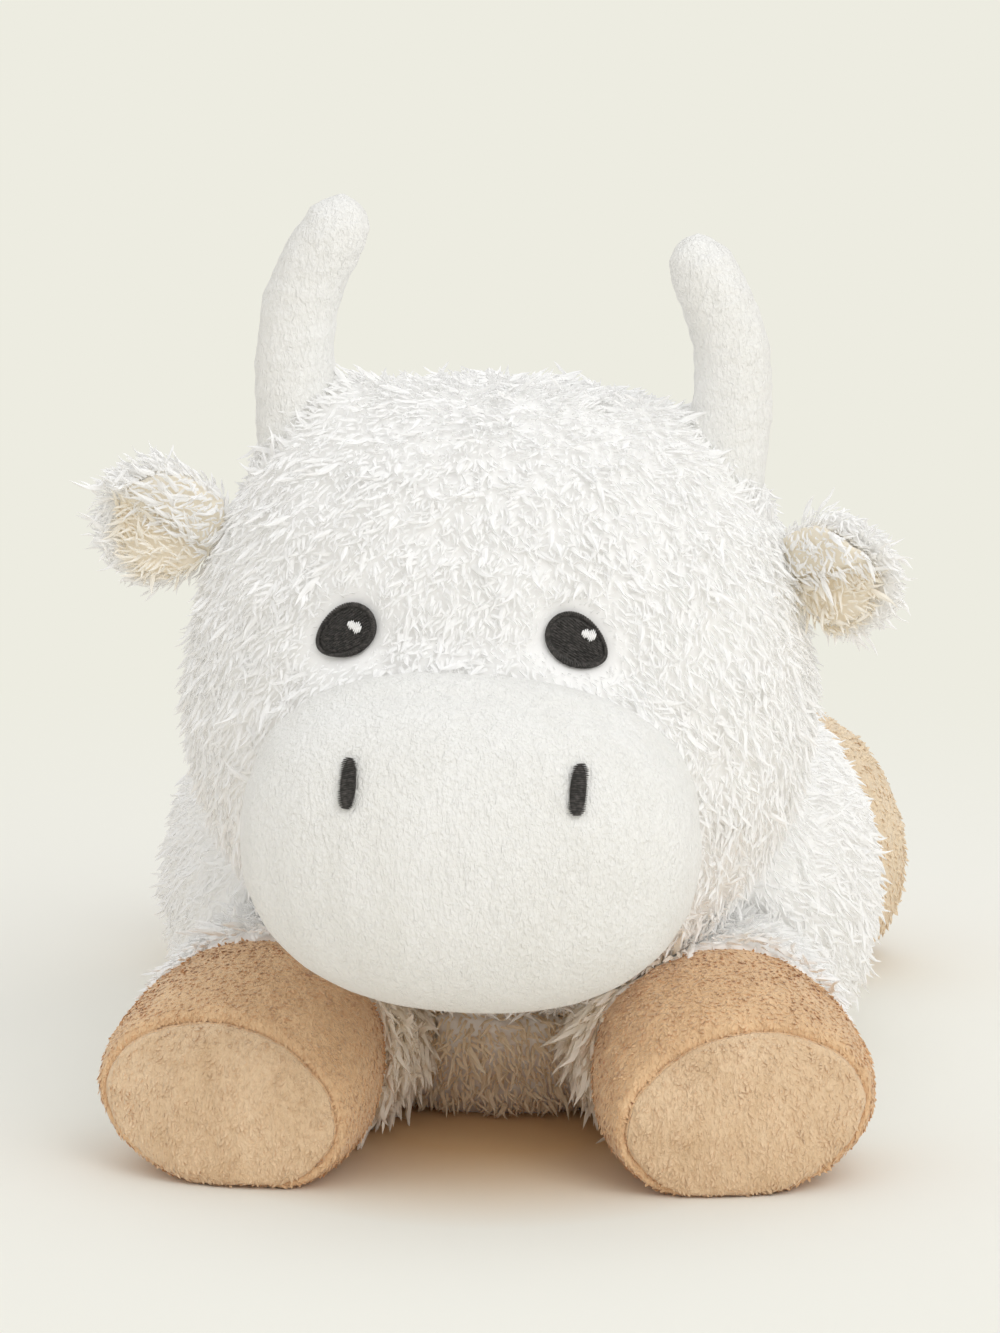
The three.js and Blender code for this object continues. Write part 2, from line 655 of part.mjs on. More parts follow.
SIDES.forEach(({ word, side, earForwardDeg }) => {
  const ear = new THREE.Group();
  const restTurn = rad(-side * earForwardDeg);
  ear.position.copy(earRoot(side));
  ear.quaternion.setFromAxisAngle(earSeam(side), restTurn);
  head.add(ear);
  const headRoom = headRoomInEar(side, restTurn);
  const nesting = 2 * EAR_PANEL_HALF_THICKNESS + SEAM_GAP;
  addPiece(ear, `ear_${word}_back`, earPanel(side, 1, 0).subtract(headRoom), FLEECE());
  addPiece(ear, `ear_${word}_front`, earPanel(side, EAR_FRONT_SHARE, nesting).subtract(headRoom), FLEECE());
});

// Limbs: fleece sleeve, hoof upper, domed sole panel and one run of filling through sleeve and hoof
function makeLimb(name, leg, side) {
  const limb = new THREE.Group();
  limbPlace(leg, side).decompose(limb.position, limb.quaternion, limb.scale);
  const headRoom = headRoomInLimb(leg, side);
  const form = (profile, inset, sides) => limbForm(leg, side, profile, inset, sides);
  const sleeve = form(legProfile(leg, 0, 0), 0, LIMB_SIDES);
  const sleeveHollow = form(legProfile(leg, FLEECE_WALL, FLEECE_WALL), FLEECE_WALL, LIMB_INNER_SIDES);
  addPiece(limb, `${name}_leg_cover`, sleeve.subtract(sleeveHollow).subtract(headRoom), FLEECE());
  const hoof = form(hoofProfile(leg, 0, 0), 0, LIMB_SIDES);
  const hoofHollow = form(hoofProfile(leg, PLUSH_WALL, PLUSH_WALL), PLUSH_WALL, LIMB_INNER_SIDES);
  const hoofShell = hoof.subtract(hoofHollow).subtract(inFrontOfSole(leg, 0));
  addPiece(limb, `${name}_hoof_upper`, hoofShell, HOOF_PLUSH());
  addPiece(limb, `${name}_hoof_sole`, soleForm(leg, side, hoof), HOOF_PLUSH());
  const sleeveFill = form(legProfile(leg, filling, SEAM_GAP), filling, LIMB_INNER_SIDES);
  const hoofFill = form(hoofProfile(leg, filling, SEAM_GAP), filling, LIMB_INNER_SIDES);
  const fill = sleeveFill.add(hoofFill).subtract(inFrontOfSole(leg, -SEAM_GAP)).subtract(headRoom);
  addPiece(limb, `${name}_leg_stuffing`, fill, FIBRE());
  buffalo.add(limb);
}

LIMBS.forEach(({ word, leg }) => {
  SIDES.forEach((at) => makeLimb(`${word}_${at.word}`, leg, at.side));
});

// Tail: a soft cord of fleece let into the rump, ending in a tuft
function tailSpine() {
  const root = tailRoot();
  const back = root.y + SEAM_GAP;
  const stations = TAIL_STATIONS.map(({ reach, drop }) => {
    return new THREE.Vector3(0, back + TAIL_REACH * reach, root.z - TAIL_DROP * drop);
  });
  return new THREE.CatmullRomCurve3([new THREE.Vector3(0, back - TAIL_RADIUS, root.z), ...stations]);
}

const tailCut = halfSpace(tailRoot().add(new THREE.Vector3(0, SEAM_GAP, 0)), new THREE.Vector3(0, -1, 0));
const acrossToy = new THREE.Vector3(1, 0, 0);
const tailThickness = () => TAIL_RADIUS;
const tail = loftedForm(tailSpine(), tailThickness, tailThickness, acrossToy, TAIL_FACETS);
addPiece(buffalo, "tail_cover", tail.subtract(tailCut), FLEECE());

const tailEnd = tailSpine().getPointAt(1);
const tuftReach = (d) => ovalReach(d, TUFT_RADIUS, TUFT_RADIUS, TUFT_LENGTH / 2);
const tuft = moved(stuffedForm(tuftReach, SMALL_FORM),
  new THREE.Matrix4().setPosition(tailEnd.x, tailEnd.y, tailEnd.z - TUFT_LENGTH / 2 + TAIL_RADIUS));
const grownTail = () => TAIL_RADIUS + SEAM_GAP;
const tailRoom = loftedForm(tailSpine(), grownTail, grownTail, acrossToy, TAIL_FACETS);
addPiece(buffalo, "tail_tuft", tuft.subtract(tailRoom), FLEECE());

export default buffalo;
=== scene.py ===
# %% [markdown]
# # A plush buffalo lying on its belly
# The toy is sewn from three cloths over loose fibre: curly fleece for the body, head, ears and
# legs, white short-pile plush for the muzzle and horns, and tan short-pile plush for the hooves.
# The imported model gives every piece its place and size. It could be shown as it is, but cloth
# needs a puffed skin, curls and thread, so this lesson makes each of those around it.

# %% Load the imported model
import json
import math

import bmesh
import bpy
from mathutils import Euler, Matrix, Vector, noise
from mathutils.bvhtree import BVHTree

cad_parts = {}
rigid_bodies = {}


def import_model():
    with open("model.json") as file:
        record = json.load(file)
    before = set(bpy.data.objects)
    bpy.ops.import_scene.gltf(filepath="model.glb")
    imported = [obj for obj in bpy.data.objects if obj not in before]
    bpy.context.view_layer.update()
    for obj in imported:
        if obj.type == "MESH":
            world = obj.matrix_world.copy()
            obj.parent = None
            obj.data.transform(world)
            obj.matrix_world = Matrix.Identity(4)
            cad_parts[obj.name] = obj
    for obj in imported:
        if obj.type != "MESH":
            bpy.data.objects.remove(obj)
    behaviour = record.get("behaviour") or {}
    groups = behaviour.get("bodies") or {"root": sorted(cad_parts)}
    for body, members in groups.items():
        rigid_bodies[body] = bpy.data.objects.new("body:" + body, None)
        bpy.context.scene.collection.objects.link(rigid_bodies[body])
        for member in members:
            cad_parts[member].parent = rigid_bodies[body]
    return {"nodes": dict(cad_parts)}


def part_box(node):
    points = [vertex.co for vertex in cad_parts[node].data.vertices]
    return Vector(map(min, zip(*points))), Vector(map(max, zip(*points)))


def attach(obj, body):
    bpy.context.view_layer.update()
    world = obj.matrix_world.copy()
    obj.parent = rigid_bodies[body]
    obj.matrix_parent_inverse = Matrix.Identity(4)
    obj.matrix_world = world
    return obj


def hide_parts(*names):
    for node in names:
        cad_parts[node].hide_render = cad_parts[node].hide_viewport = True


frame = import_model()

scene = bpy.context.scene
nodes = frame["nodes"]
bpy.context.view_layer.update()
MM = 0.001
NOISE_SEED = 7
noise.seed_set(NOISE_SEED)

# %% [markdown]
# ## Camera
# The photograph was taken from well away with a long lens, a little above the toy and a little to
# one side. A short lens close by would make the muzzle too big against the ears, so the camera
# stands 2.4 m off and looks through a 216 mm lens.

# %% Set up the camera
CAMERA_PLACE = Vector((0.164, -2.402, 0.629))
CAMERA_AIM = Vector((-0.0024, -0.060, 0.132))
LENS = 216
SENSOR_WIDTH = 36
FARTHEST_SEEN = 30

camera = bpy.data.objects.new("photo_camera", bpy.data.cameras.new("photo_camera"))
camera.data.sensor_width = SENSOR_WIDTH
camera.data.lens = LENS
camera.data.clip_end = FARTHEST_SEEN
camera.location = CAMERA_PLACE
camera.rotation_euler = (CAMERA_AIM - CAMERA_PLACE).to_track_quat("-Z", "Y").to_euler()
scene.collection.objects.link(camera)
scene.camera = camera
scene.view_settings.view_transform = "Standard"
print("camera distance in m:", round((CAMERA_AIM - CAMERA_PLACE).length, 2))

# %% [markdown]
# ## Writing finishes as sums
# A finish is a small web of nodes. Wiring each one by hand hides the idea, so one class wraps a
# socket and lets Python's own signs make the Math nodes: `1 - mask` or `mask * 0.4` adds a node.
# Every other node comes from its `node` method, which takes the type, settings and inputs. A Mix
# node has sockets for numbers, vectors and colours, so those for colours go by their place.

# %% A socket that can be summed
MIX_FIRST = 6
MIX_SECOND = 7
MIXED = 2


class Value:
    def __init__(self, tree, socket=None):
        self.tree = tree
        self.socket = socket

    def node(self, kind, settings=None, inputs=None, out=0):
        made = self.tree.nodes.new(kind)
        for name, value in (settings or {}).items():
            setattr(made, name, value)
        for name, value in (inputs or {}).items():
            if isinstance(value, Value):
                self.tree.links.new(value.socket, made.inputs[name])
            else:
                made.inputs[name].default_value = value
        return Value(self.tree, made.outputs[out])

    def maths(self, operation, first, second):
        return self.node("ShaderNodeMath", {"operation": operation}, {0: first, 1: second})

    def __add__(self, other):
        return self.maths("ADD", self, other)

    def __radd__(self, other):
        return self.maths("ADD", other, self)

    def __sub__(self, other):
        return self.maths("SUBTRACT", self, other)

    def __rsub__(self, other):
        return self.maths("SUBTRACT", other, self)

    def __mul__(self, other):
        return self.maths("MULTIPLY", self, other)

    def __rmul__(self, other):
        return self.maths("MULTIPLY", other, self)

    def between(self, low, high):
        inputs = {"Value": self, "From Min": low, "From Max": high}
        return self.node("ShaderNodeMapRange", {"clamp": True}, inputs)

    def mix(self, first, second):
        inputs = {"Factor": self, MIX_FIRST: first, MIX_SECOND: second}
        return self.node("ShaderNodeMix", {"data_type": "RGBA"}, inputs, out=MIXED)


def rgba(colour):
    return (*colour, 1)


# %% A new material with a plain shader
def new_finish(name, constants):
    finish = bpy.data.materials.new(name)
    finish.use_nodes = True
    shader = finish.node_tree.nodes["Principled BSDF"]
    for socket, value in constants.items():
        shader.inputs[socket].default_value = value
    start = Value(finish.node_tree)
    place = start.node("ShaderNodeTexCoord", out="Object")
    return finish, shader, place


def feed(shader, socket, value):
    value.tree.links.new(value.socket, shader.inputs[socket])


def speckle(place, scale, detail=2.0, stretch=(1, 1, 1), turn=(0, 0, 0), distortion=0.0):
    if stretch != (1, 1, 1) or turn != (0, 0, 0):
        inputs = {"Vector": place, "Scale": stretch, "Rotation": turn}
        place = place.node("ShaderNodeMapping", {}, inputs)
    inputs = {"Vector": place, "Scale": scale, "Detail": detail, "Distortion": distortion}
    return place.node("ShaderNodeTexNoise", {}, inputs)


def bumped(shader, height, depth, strength):
    inputs = {"Height": height, "Distance": depth, "Strength": strength}
    feed(shader, "Normal", height.node("ShaderNodeBump", {}, inputs))


# %% [markdown]
# ## Floor and light
# The toy lies on a seamless sheet of cream paper under a large soft light from above and the right.
# The paper could be one flat colour, but then the shade under the chin would be grey: in the
# photograph it is a warm brown, most likely from light that bounced off the paper and the tan
# hooves. So under the toy the paper is painted browner, with a soft edge, and throws back a browner
# light still. Away from the toy it fades into an even cream, which the sky has too.

# %% Paper floor
PAPER = (0.847, 0.839, 0.753)
PAPER_NEAR = (0.86, 0.855, 0.805)
PAPER_PAINTED_SHADOW = (0.74, 0.53, 0.32)
BOUNCE = (0.86, 0.83, 0.76)
BOUNCE_UNDER = (0.46, 0.28, 0.13)
FOOTPRINT_HALF = (0.105, 0.155)
FOOTPRINT_BACK = 0.05
FOOTPRINT_EDGE = (0.5, 1.04)
NEAR_TOY = 0.22
FAR_FROM_TOY = 0.55
FLOOR_HALF_SIZE = 12
MATT = {"Roughness": 1.0, "Specular IOR Level": 0.0}
SEEING_RAYS = ("Is Camera Ray", "Is Glossy Ray", "Is Transmission Ray")


def looked_at(start):
    direct, mirrored, through = [start.node("ShaderNodeLightPath", out=ray) for ray in SEEING_RAYS]
    return direct + mirrored + through


def length_of(place):
    return place.node("ShaderNodeVectorMath", {"operation": "LENGTH"}, {0: place}, out="Value")


work = bmesh.new()
bmesh.ops.create_grid(work, x_segments=2, y_segments=2, size=FLOOR_HALF_SIZE)
floor_mesh = bpy.data.meshes.new("paper_floor")
work.to_mesh(floor_mesh)
work.free()
floor = bpy.data.objects.new("paper_floor", floor_mesh)
scene.collection.objects.link(floor)
paper, paper_shader, paper_place = new_finish("paper", MATT)
seen = looked_at(paper_place)
footprint = paper_place.node("ShaderNodeMapping", {}, {
    "Vector": paper_place, "Scale": (1 / FOOTPRINT_HALF[0], 1 / FOOTPRINT_HALF[1], 0),
    "Location": (0, FOOTPRINT_BACK / FOOTPRINT_HALF[1], 0)})
clear_of_toy = length_of(footprint).between(*FOOTPRINT_EDGE)
bounced = clear_of_toy.mix(rgba(BOUNCE_UNDER), rgba(BOUNCE))
# Under the toy the paper's colour is a painted brown shadow, which fades out at the footprint's
# edge.
shown = clear_of_toy.mix(rgba(PAPER_PAINTED_SHADOW), rgba(PAPER_NEAR))
feed(paper_shader, "Base Color", seen.mix(bounced, shown))
far_from_toy = length_of(paper_place).between(NEAR_TOY, FAR_FROM_TOY)
lit_paper = Value(paper.node_tree, paper_shader.outputs[0])
even_paper = seen.node("ShaderNodeEmission", {}, {"Color": rgba(PAPER)})
sheet = seen.node("ShaderNodeMixShader", {}, {0: seen * far_from_toy, 1: lit_paper, 2: even_paper})
feed(paper.node_tree.nodes["Material Output"], "Surface", sheet)
floor_mesh.materials.append(paper)
print("floor half size in m:", FLOOR_HALF_SIZE)

# %% Sky and lamps
SKY_LOW = (0.59, 0.57, 0.535)
SKY_HIGH = (0.92, 0.92, 0.915)
SKY_HEIGHTS = (-0.1, 0.9)
LIGHT_BOUNCES = 20
LAMP_COLOUR = (1.0, 1.0, 0.99)
LAMPS = {
    "key_right": {"place": (1.3, -1.7, 1.9), "size": 2.0, "power": 21},
    "top_back": {"place": (-0.3, 0.9, 2.2), "size": 1.8, "power": 3},
}

world = bpy.data.worlds.new("studio")
world.use_nodes = True
sky = world.node_tree.nodes["Background"]
sky_start = Value(world.node_tree)
sky_way = sky_start.node("ShaderNodeTexCoord", out="Generated")
sky_height = sky_start.node("ShaderNodeSeparateXYZ", {}, {0: sky_way}, out="Z")
sky_glow = sky_height.between(*SKY_HEIGHTS).mix(rgba(SKY_LOW), rgba(SKY_HIGH))
feed(sky, "Color", looked_at(sky_start).mix(sky_glow, rgba(PAPER)))
scene.world = world
scene.cycles.max_bounces = LIGHT_BOUNCES
scene.cycles.diffuse_bounces = LIGHT_BOUNCES
for name, lamp in LAMPS.items():
    light = bpy.data.lights.new(name, "AREA")
    light.size = lamp["size"]
    light.energy = lamp["power"]
    light.color = LAMP_COLOUR
    stand = bpy.data.objects.new(name, light)
    stand.location = lamp["place"]
    stand.rotation_euler = (CAMERA_AIM - stand.location).to_track_quat("-Z", "Y").to_euler()
    scene.collection.objects.link(stand)
print("lamps:", ", ".join(LAMPS))

# %% [markdown]
# ## Cloth finishes
# Curly fleece is matt and very white: light goes from lock to lock many times before it leaves, so
# a colour only a little below white already darkens the roots. Short pile shines softly and shows
# which way it was last brushed, so its finish has broad patches of light and dark and a fine grain
# of fibre tips. A picture of cloth would be quicker, but noise made in the shader has no seams and
# works on every piece. The chest and the inner sides of the front legs lie in a warm brown shade,
# more than the floor's light alone gives them, so their fleece takes a painted tan and cream shade.

# %% Curly fleece
FLEECE_TIP = (0.96, 0.961, 0.962)
FLEECE_PAINTED_ROOT_SHADE = (0.958, 0.956, 0.95)
LINING_PAINTED_SHADE_TIP = (0.955, 0.92, 0.85)
LINING_PAINTED_SHADE_ROOT = (0.915, 0.86, 0.75)
CHEST_PAINTED_SHADE_TIP = (0.88, 0.78, 0.62)
CHEST_PAINTED_SHADE_ROOT = (0.78, 0.64, 0.46)
CREAM_PAINTED_SHADE_TIP = (0.965, 0.93, 0.865)
CREAM_PAINTED_SHADE_ROOT = (0.95, 0.90, 0.81)
CLOTH = {**MATT, "Sheen Weight": 0.25, "Sheen Roughness": 0.5}
TUFT_SHADE = {"scale": 70}
TUFT_SHADE_ENDS = (0.3, 0.75)
TUFT_SHADE_SHARE = 0.25
ROOT_SHADE_ENDS = (0.0, 0.7)
ROOT_SHADE_SHARE = 0.75


def fleece_finish(name, root, tip):
    finish, shader, place = new_finish(name, CLOTH)
    along_lock = place.node("ShaderNodeAttribute", {"attribute_name": "along"}, out="Fac")
    tufts = speckle(place, **TUFT_SHADE).between(*TUFT_SHADE_ENDS)
    # Toward its root a lock is painted darker, as painted shade deep among the locks; the tufts add
    # tone at random.
    root_shade_and_tufts = along_lock.between(*ROOT_SHADE_ENDS) * ROOT_SHADE_SHARE + tufts * TUFT_SHADE_SHARE
    feed(shader, "Base Color", root_shade_and_tufts.mix(rgba(root), rgba(tip)))
    return finish


fleece = fleece_finish("curly_fleece", FLEECE_PAINTED_ROOT_SHADE, FLEECE_TIP)
ear_lining_painted_shade = fleece_finish("ear_lining_fleece", LINING_PAINTED_SHADE_ROOT, LINING_PAINTED_SHADE_TIP)
chest_fleece = fleece_finish("chest_fleece", CHEST_PAINTED_SHADE_ROOT, CHEST_PAINTED_SHADE_TIP)
cream_fleece = fleece_finish("cream_fleece", CREAM_PAINTED_SHADE_ROOT, CREAM_PAINTED_SHADE_TIP)

# %% White and tan short pile
PLUSH_LIGHT = (0.965, 0.966, 0.955)
PLUSH_DARK = (0.89, 0.885, 0.855)
HOOF_LIGHT = (0.95, 0.68, 0.42)
HOOF_DARK = (0.70, 0.445, 0.245)
# The sole's paler tan is painted light, for the way light and nap fall on its face.
SOLE_PAINTED_LIT_LIGHT = (0.93, 0.71, 0.485)
SOLE_PAINTED_LIT_DARK = (0.70, 0.485, 0.29)
# The hind uppers are the same tan; their palest tone is painted light.
HIND_PAINTED_LIT_LIGHT = (0.95, 0.80, 0.61)
HIND_PAINTED_LIT_DARK = (0.84, 0.67, 0.46)
SHEEN = {"Roughness": 0.8, "Specular IOR Level": 0.2, "Sheen Weight": 0.4, "Sheen Roughness": 0.35}
BRUSHED = {"scale": 34, "detail": 3.0, "stretch": (1, 1, 0.6), "turn": (0.3, 0.2, 0.5),
           "distortion": 1.2}
BRUSHED_ENDS = (0.28, 0.68)
BRUSHED_SHARE = 0.5
STREAKS = {"scale": 360, "detail": 3.0, "stretch": (1, 1, 0.4), "turn": (0.5, 0.2, 0.3),
           "distortion": 1.5}
STREAKS_ENDS = (0.32, 0.68)
STREAKS_SHARE = 0.3
FIBRES = {"scale": 1150, "stretch": (1, 1, 0.6), "turn": (0.4, 0.3, 0.2), "distortion": 0.6}
FIBRES_ENDS = (0.3, 0.7)
FIBRES_SHARE = 0.2
RAISED_SHARE = 0.5
NAP_DEPTH = 1.1 * MM
NAP_STRENGTH = 0.7


def short_pile(name, dark, light):
    finish, shader, place = new_finish(name, SHEEN)
    brushed = speckle(place, **BRUSHED).between(*BRUSHED_ENDS)
    streaks = speckle(place, **STREAKS).between(*STREAKS_ENDS)
    fibres = speckle(place, **FIBRES).between(*FIBRES_ENDS)
    tone = brushed * BRUSHED_SHARE + streaks * STREAKS_SHARE + fibres * FIBRES_SHARE
    feed(shader, "Base Color", tone.mix(rgba(dark), rgba(light)))
    bumped(shader, streaks * RAISED_SHARE + fibres * RAISED_SHARE, NAP_DEPTH, NAP_STRENGTH)
    return finish


plush = short_pile("white_short_pile", PLUSH_DARK, PLUSH_LIGHT)
hoof_plush = short_pile("tan_short_pile", HOOF_DARK, HOOF_LIGHT)
sole_painted_light_plush = short_pile("pale_tan_short_pile", SOLE_PAINTED_LIT_DARK, SOLE_PAINTED_LIT_LIGHT)
hind_painted_light_plush = short_pile("palest_tan_short_pile", HIND_PAINTED_LIT_DARK, HIND_PAINTED_LIT_LIGHT)

# %% Embroidery thread
BLACK_DYE = (0.022, 0.020, 0.019)
WHITE_DYE = (0.93, 0.93, 0.93)
BLACK_WORN = 4.5
WHITE_WORN = 1.08
THREAD = {"Specular IOR Level": 0.4, "Sheen Weight": 0.1, "Sheen Roughness": 0.4}
WORN = {"scale": 1300, "stretch": (0.5, 1, 1)}
WORN_ENDS = (0.4, 0.75)
SMOOTH_THREAD = 0.5
WORN_ROUGHER = 0.2


def thread_finish(name, dye, lift):
    finish, shader, place = new_finish(name, THREAD)
    worn = speckle(place, **WORN).between(*WORN_ENDS)
    lighter = [min(1.0, v * lift) for v in dye]
    feed(shader, "Base Color", worn.mix(rgba(dye), rgba(lighter)))
    feed(shader, "Roughness", worn * WORN_ROUGHER + SMOOTH_THREAD)
    return finish


black_thread = thread_finish("black_thread", BLACK_DYE, BLACK_WORN)
white_thread = thread_finish("white_thread", WHITE_DYE, WHITE_WORN)
finishes = (fleece, ear_lining_painted_shade, chest_fleece, cream_fleece, plush, hoof_plush, sole_painted_light_plush,
            hind_painted_light_plush, black_thread, white_thread)
print("finishes:", ", ".join(finish.name for finish in finishes))

# %% [markdown]
# ## Stuffed skins
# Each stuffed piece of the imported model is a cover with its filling. On the toy the cloth is one
# skin that the fibre pushes out from inside. The skin could be drawn by hand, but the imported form
# already has the true size, so its pieces are joined, remeshed evenly and blown up a little by
# Blender's cloth solver, with a cap on how far any point may move.


# %% From a bmesh to a piece, and a piece with its modifiers settled
MERGE = 1e-5


def as_piece(name, work):
    mesh = bpy.data.meshes.new(name)
    work.to_mesh(mesh)
    work.free()
    piece = bpy.data.objects.new(name, mesh)
    scene.collection.objects.link(piece)
    return piece


def opened(piece):
    work = bmesh.new()
    work.from_mesh(piece.data)
    work.normal_update()
    return work


def closed(work, piece):
    work.to_mesh(piece.data)
    work.free()
    return piece


def settle(piece):
    graph = bpy.context.evaluated_depsgraph_get()
    settled = bpy.data.meshes.new_from_object(piece.evaluated_get(graph))
    piece.modifiers.clear()
    before = piece.data
    piece.data = settled
    bpy.data.meshes.remove(before)
    settled.name = piece.name
    return piece


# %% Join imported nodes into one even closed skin
SMOOTHING = 0.5


def outer_shell(work):
    left = set(work.verts)
    shells = []
    while left:
        edge = [left.pop()]
        shell = list(edge)
        while edge:
            found = [e.other_vert(v) for v in edge for e in v.link_edges]
            edge = [v for v in dict.fromkeys(found) if v in left]
            left.difference_update(edge)
            shell.extend(edge)
        shells.append(shell)
    shells.sort(key=len, reverse=True)
    inner = [v for shell in shells[1:] for v in shell]
    bmesh.ops.delete(work, geom=inner, context="VERTS")


def joined_form(name, packed, voxel, rounds):
    work = bmesh.new()
    for node in packed:
        work.from_mesh(nodes[node].data)
    bmesh.ops.remove_doubles(work, verts=work.verts, dist=MERGE)
    piece = as_piece(name, work)
    even = piece.modifiers.new("even", "REMESH")
    even.mode = "VOXEL"
    even.voxel_size = voxel
    settle(piece)
    work = opened(piece)
    outer_shell(work)
    for _ in range(rounds):
        bmesh.ops.smooth_vert(work, verts=work.verts, factor=SMOOTHING,
                              use_axis_x=True, use_axis_y=True, use_axis_z=True)
    bmesh.ops.recalc_face_normals(work, faces=work.faces)
    return closed(work, piece)


# %% Blow a skin up from inside
CLOTH_FRAMES = 20
PRESSURE = 4.0
SOFT_ROUNDS = 4
SOFT_CAP = 1.2 * MM


def blow_up(piece, cap):
    rest = [v.co.copy() for v in piece.data.vertices]
    cloth = piece.modifiers.new("filling", "CLOTH")
    cloth.settings.use_pressure = True
    cloth.settings.uniform_pressure_force = PRESSURE
    cloth.settings.effector_weights.gravity = 0
    cloth.point_cache.frame_end = CLOTH_FRAMES
    for step in range(1, CLOTH_FRAMES + 1):
        scene.frame_set(step)
    settle(piece)
    scene.frame_set(1)
    for vertex, start in zip(piece.data.vertices, rest):
        move = vertex.co - start
        if move.length > cap:
            vertex.co = start + move.normalized() * cap
    return piece


def refine(piece):
    finer = piece.modifiers.new("finer", "SUBSURF")
    finer.levels = 1
    finer.render_levels = 1
    settle(piece)
    piece.data.shade_smooth()
    return piece


def stuffed(name, packed, voxel, rounds=SOFT_ROUNDS, cap=SOFT_CAP):
    piece = refine(blow_up(joined_form(name, packed, voxel, rounds), cap))
    print(name, "faces:", len(piece.data.polygons))
    return piece


def wear(piece, finish, slot, body, *packed, fill=None):
    for vertex in piece.data.vertices:
        vertex.co.z = max(vertex.co.z, 0.0)
    piece.data.materials.clear()
    piece.data.materials.append(finish)
    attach(piece, body)
    if packed:
        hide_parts(*packed)
    return piece


# %% [markdown]
# ## Body, head and muzzle
# The body is a flattened ball with a flat belly and a hollow for the head. The muzzle is a firm
# oval dome, sewn into the face so tightly that its rim bites into the fleece and the brow swells
# over it. The swell could be sculpted by hand, but moving each point by its distance to the other
# skin follows the seam all the way round.

# %% The three big skins
SIDES = {"left": 1, "right": -1}
BODY_VOXEL = 5 * MM
HEAD_VOXEL = 4.5 * MM
MUZZLE_VOXEL = 3.2 * MM
MUZZLE_ROUNDS = 6
BODY_NODES = ("body_cover", "body_stuffing", "belly_grain_pouch")
HEAD_NODES = ("head_cover", "head_stuffing")
MUZZLE_NODES = ("muzzle_cover", "muzzle_stuffing")

body_skin = stuffed("body_skin", BODY_NODES, BODY_VOXEL)
head_skin = stuffed("head_skin", HEAD_NODES, HEAD_VOXEL)
muzzle_skin = stuffed("muzzle_skin", MUZZLE_NODES, MUZZLE_VOXEL, MUZZLE_ROUNDS)
wear(body_skin, fleece, "fleece", "body", *BODY_NODES, fill=0.8)
wear(head_skin, fleece, "fleece", "head", *HEAD_NODES, fill=0.9)
wear(muzzle_skin, plush, "plush", "head", *MUZZLE_NODES, fill=0.95)


# %% Distances to a piece
def tree_of(*pieces):
    work = bmesh.new()
    for piece in pieces:
        work.from_mesh(piece.data)
    tree = BVHTree.FromBMesh(work)
    work.free()
    return tree


def distance(tree, point, *reach):
    place, normal, face, away = tree.find_nearest(point, *reach)
    return away


def mean_point(piece):
    return sum((v.co for v in piece.data.vertices), Vector()) / len(piece.data.vertices)


# %% Tuck the muzzle in under the brow
BROW_REACH = 12 * MM
BROW_BULGE = 6.5 * MM
BROW_FROM = 12 * MM
BROW_FULL = 30 * MM
TUCK_REACH = 8 * MM
TUCK_DEPTH = 4.5 * MM
PUFF_REACH = 18 * MM
PUFF = 2.0 * MM

muzzle_middle = mean_point(muzzle_skin)
rim_tree = tree_of(muzzle_skin)
work = opened(head_skin)
for vertex in work.verts:
    away = distance(rim_tree, vertex.co, BROW_REACH)
    above = (vertex.co.z - muzzle_middle.z - BROW_FROM) / (BROW_FULL - BROW_FROM)
    if away is not None and above > 0:
        vertex.co += vertex.normal * (BROW_BULGE * min(1.0, above) * (1 - away / BROW_REACH))
closed(work, head_skin)
brow_tree = tree_of(head_skin)
work = opened(muzzle_skin)
for vertex in work.verts:
    place, out = brow_tree.find_nearest(vertex.co)[:2]
    clear = (vertex.co - place).dot(out)
    if 0 < clear < PUFF_REACH:
        share = clear / PUFF_REACH
        arch = 4 * share * (1 - share)
        vertex.co += vertex.normal * (PUFF * arch)
        vertex.co -= out * (TUCK_DEPTH * max(0.0, 1 - clear / TUCK_REACH))
closed(work, muzzle_skin)
print("muzzle tucked in by mm:", TUCK_DEPTH / MM)

# %% [markdown]
# ## Eyes and nostrils
# Eyes and nostrils are sewn straight into the cloth with shiny thread: rows of flat stitches that
# start and stop like bricks, and round an eye a raised rope of slanting stitches. A painted pattern
# would be flat from the side, so every stitch is a small spindle laid on the skin over a thin pad.
# The tight thread also draws the skin in around it.


# %% A sewn patch, its pad and its stitches
SEWN_LOWER = {"left": 0.0, "right": 2.0 * MM}
IN_FRONT = -1.0
INTO_FACE = Vector((0, 1, 0))
PAD_FACETS = {"u_segments": 28, "v_segments": 10}
STITCH_FACETS = {"u_segments": 6, "v_segments": 4}


class Patch:
    def __init__(self, tree, node, side, tilt=0.0, egg=0.0):
        low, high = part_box(f"{node}_{side}")
        self.tree = tree
        self.middle = (low + high) / 2 - Vector((0, 0, SEWN_LOWER[side]))
        self.half_width = (high.x - low.x) / 2
        self.half_height = (high.z - low.z) / 2
        self.tilt = tilt
        self.egg = egg
        self.outward = self.hit(self.middle.x, self.middle.z)[1]

    def hit(self, x, z):
        return self.tree.ray_cast(Vector((x, IN_FRONT, z)), INTO_FACE)[:2]

    def point(self, along, across, lift):
        across *= 1 + self.egg * along / self.half_width
        x = self.middle.x + along * math.cos(self.tilt) - across * math.sin(self.tilt)
        z = self.middle.z + along * math.sin(self.tilt) + across * math.cos(self.tilt)
        place, normal = self.hit(x, z)
        return place + normal * lift


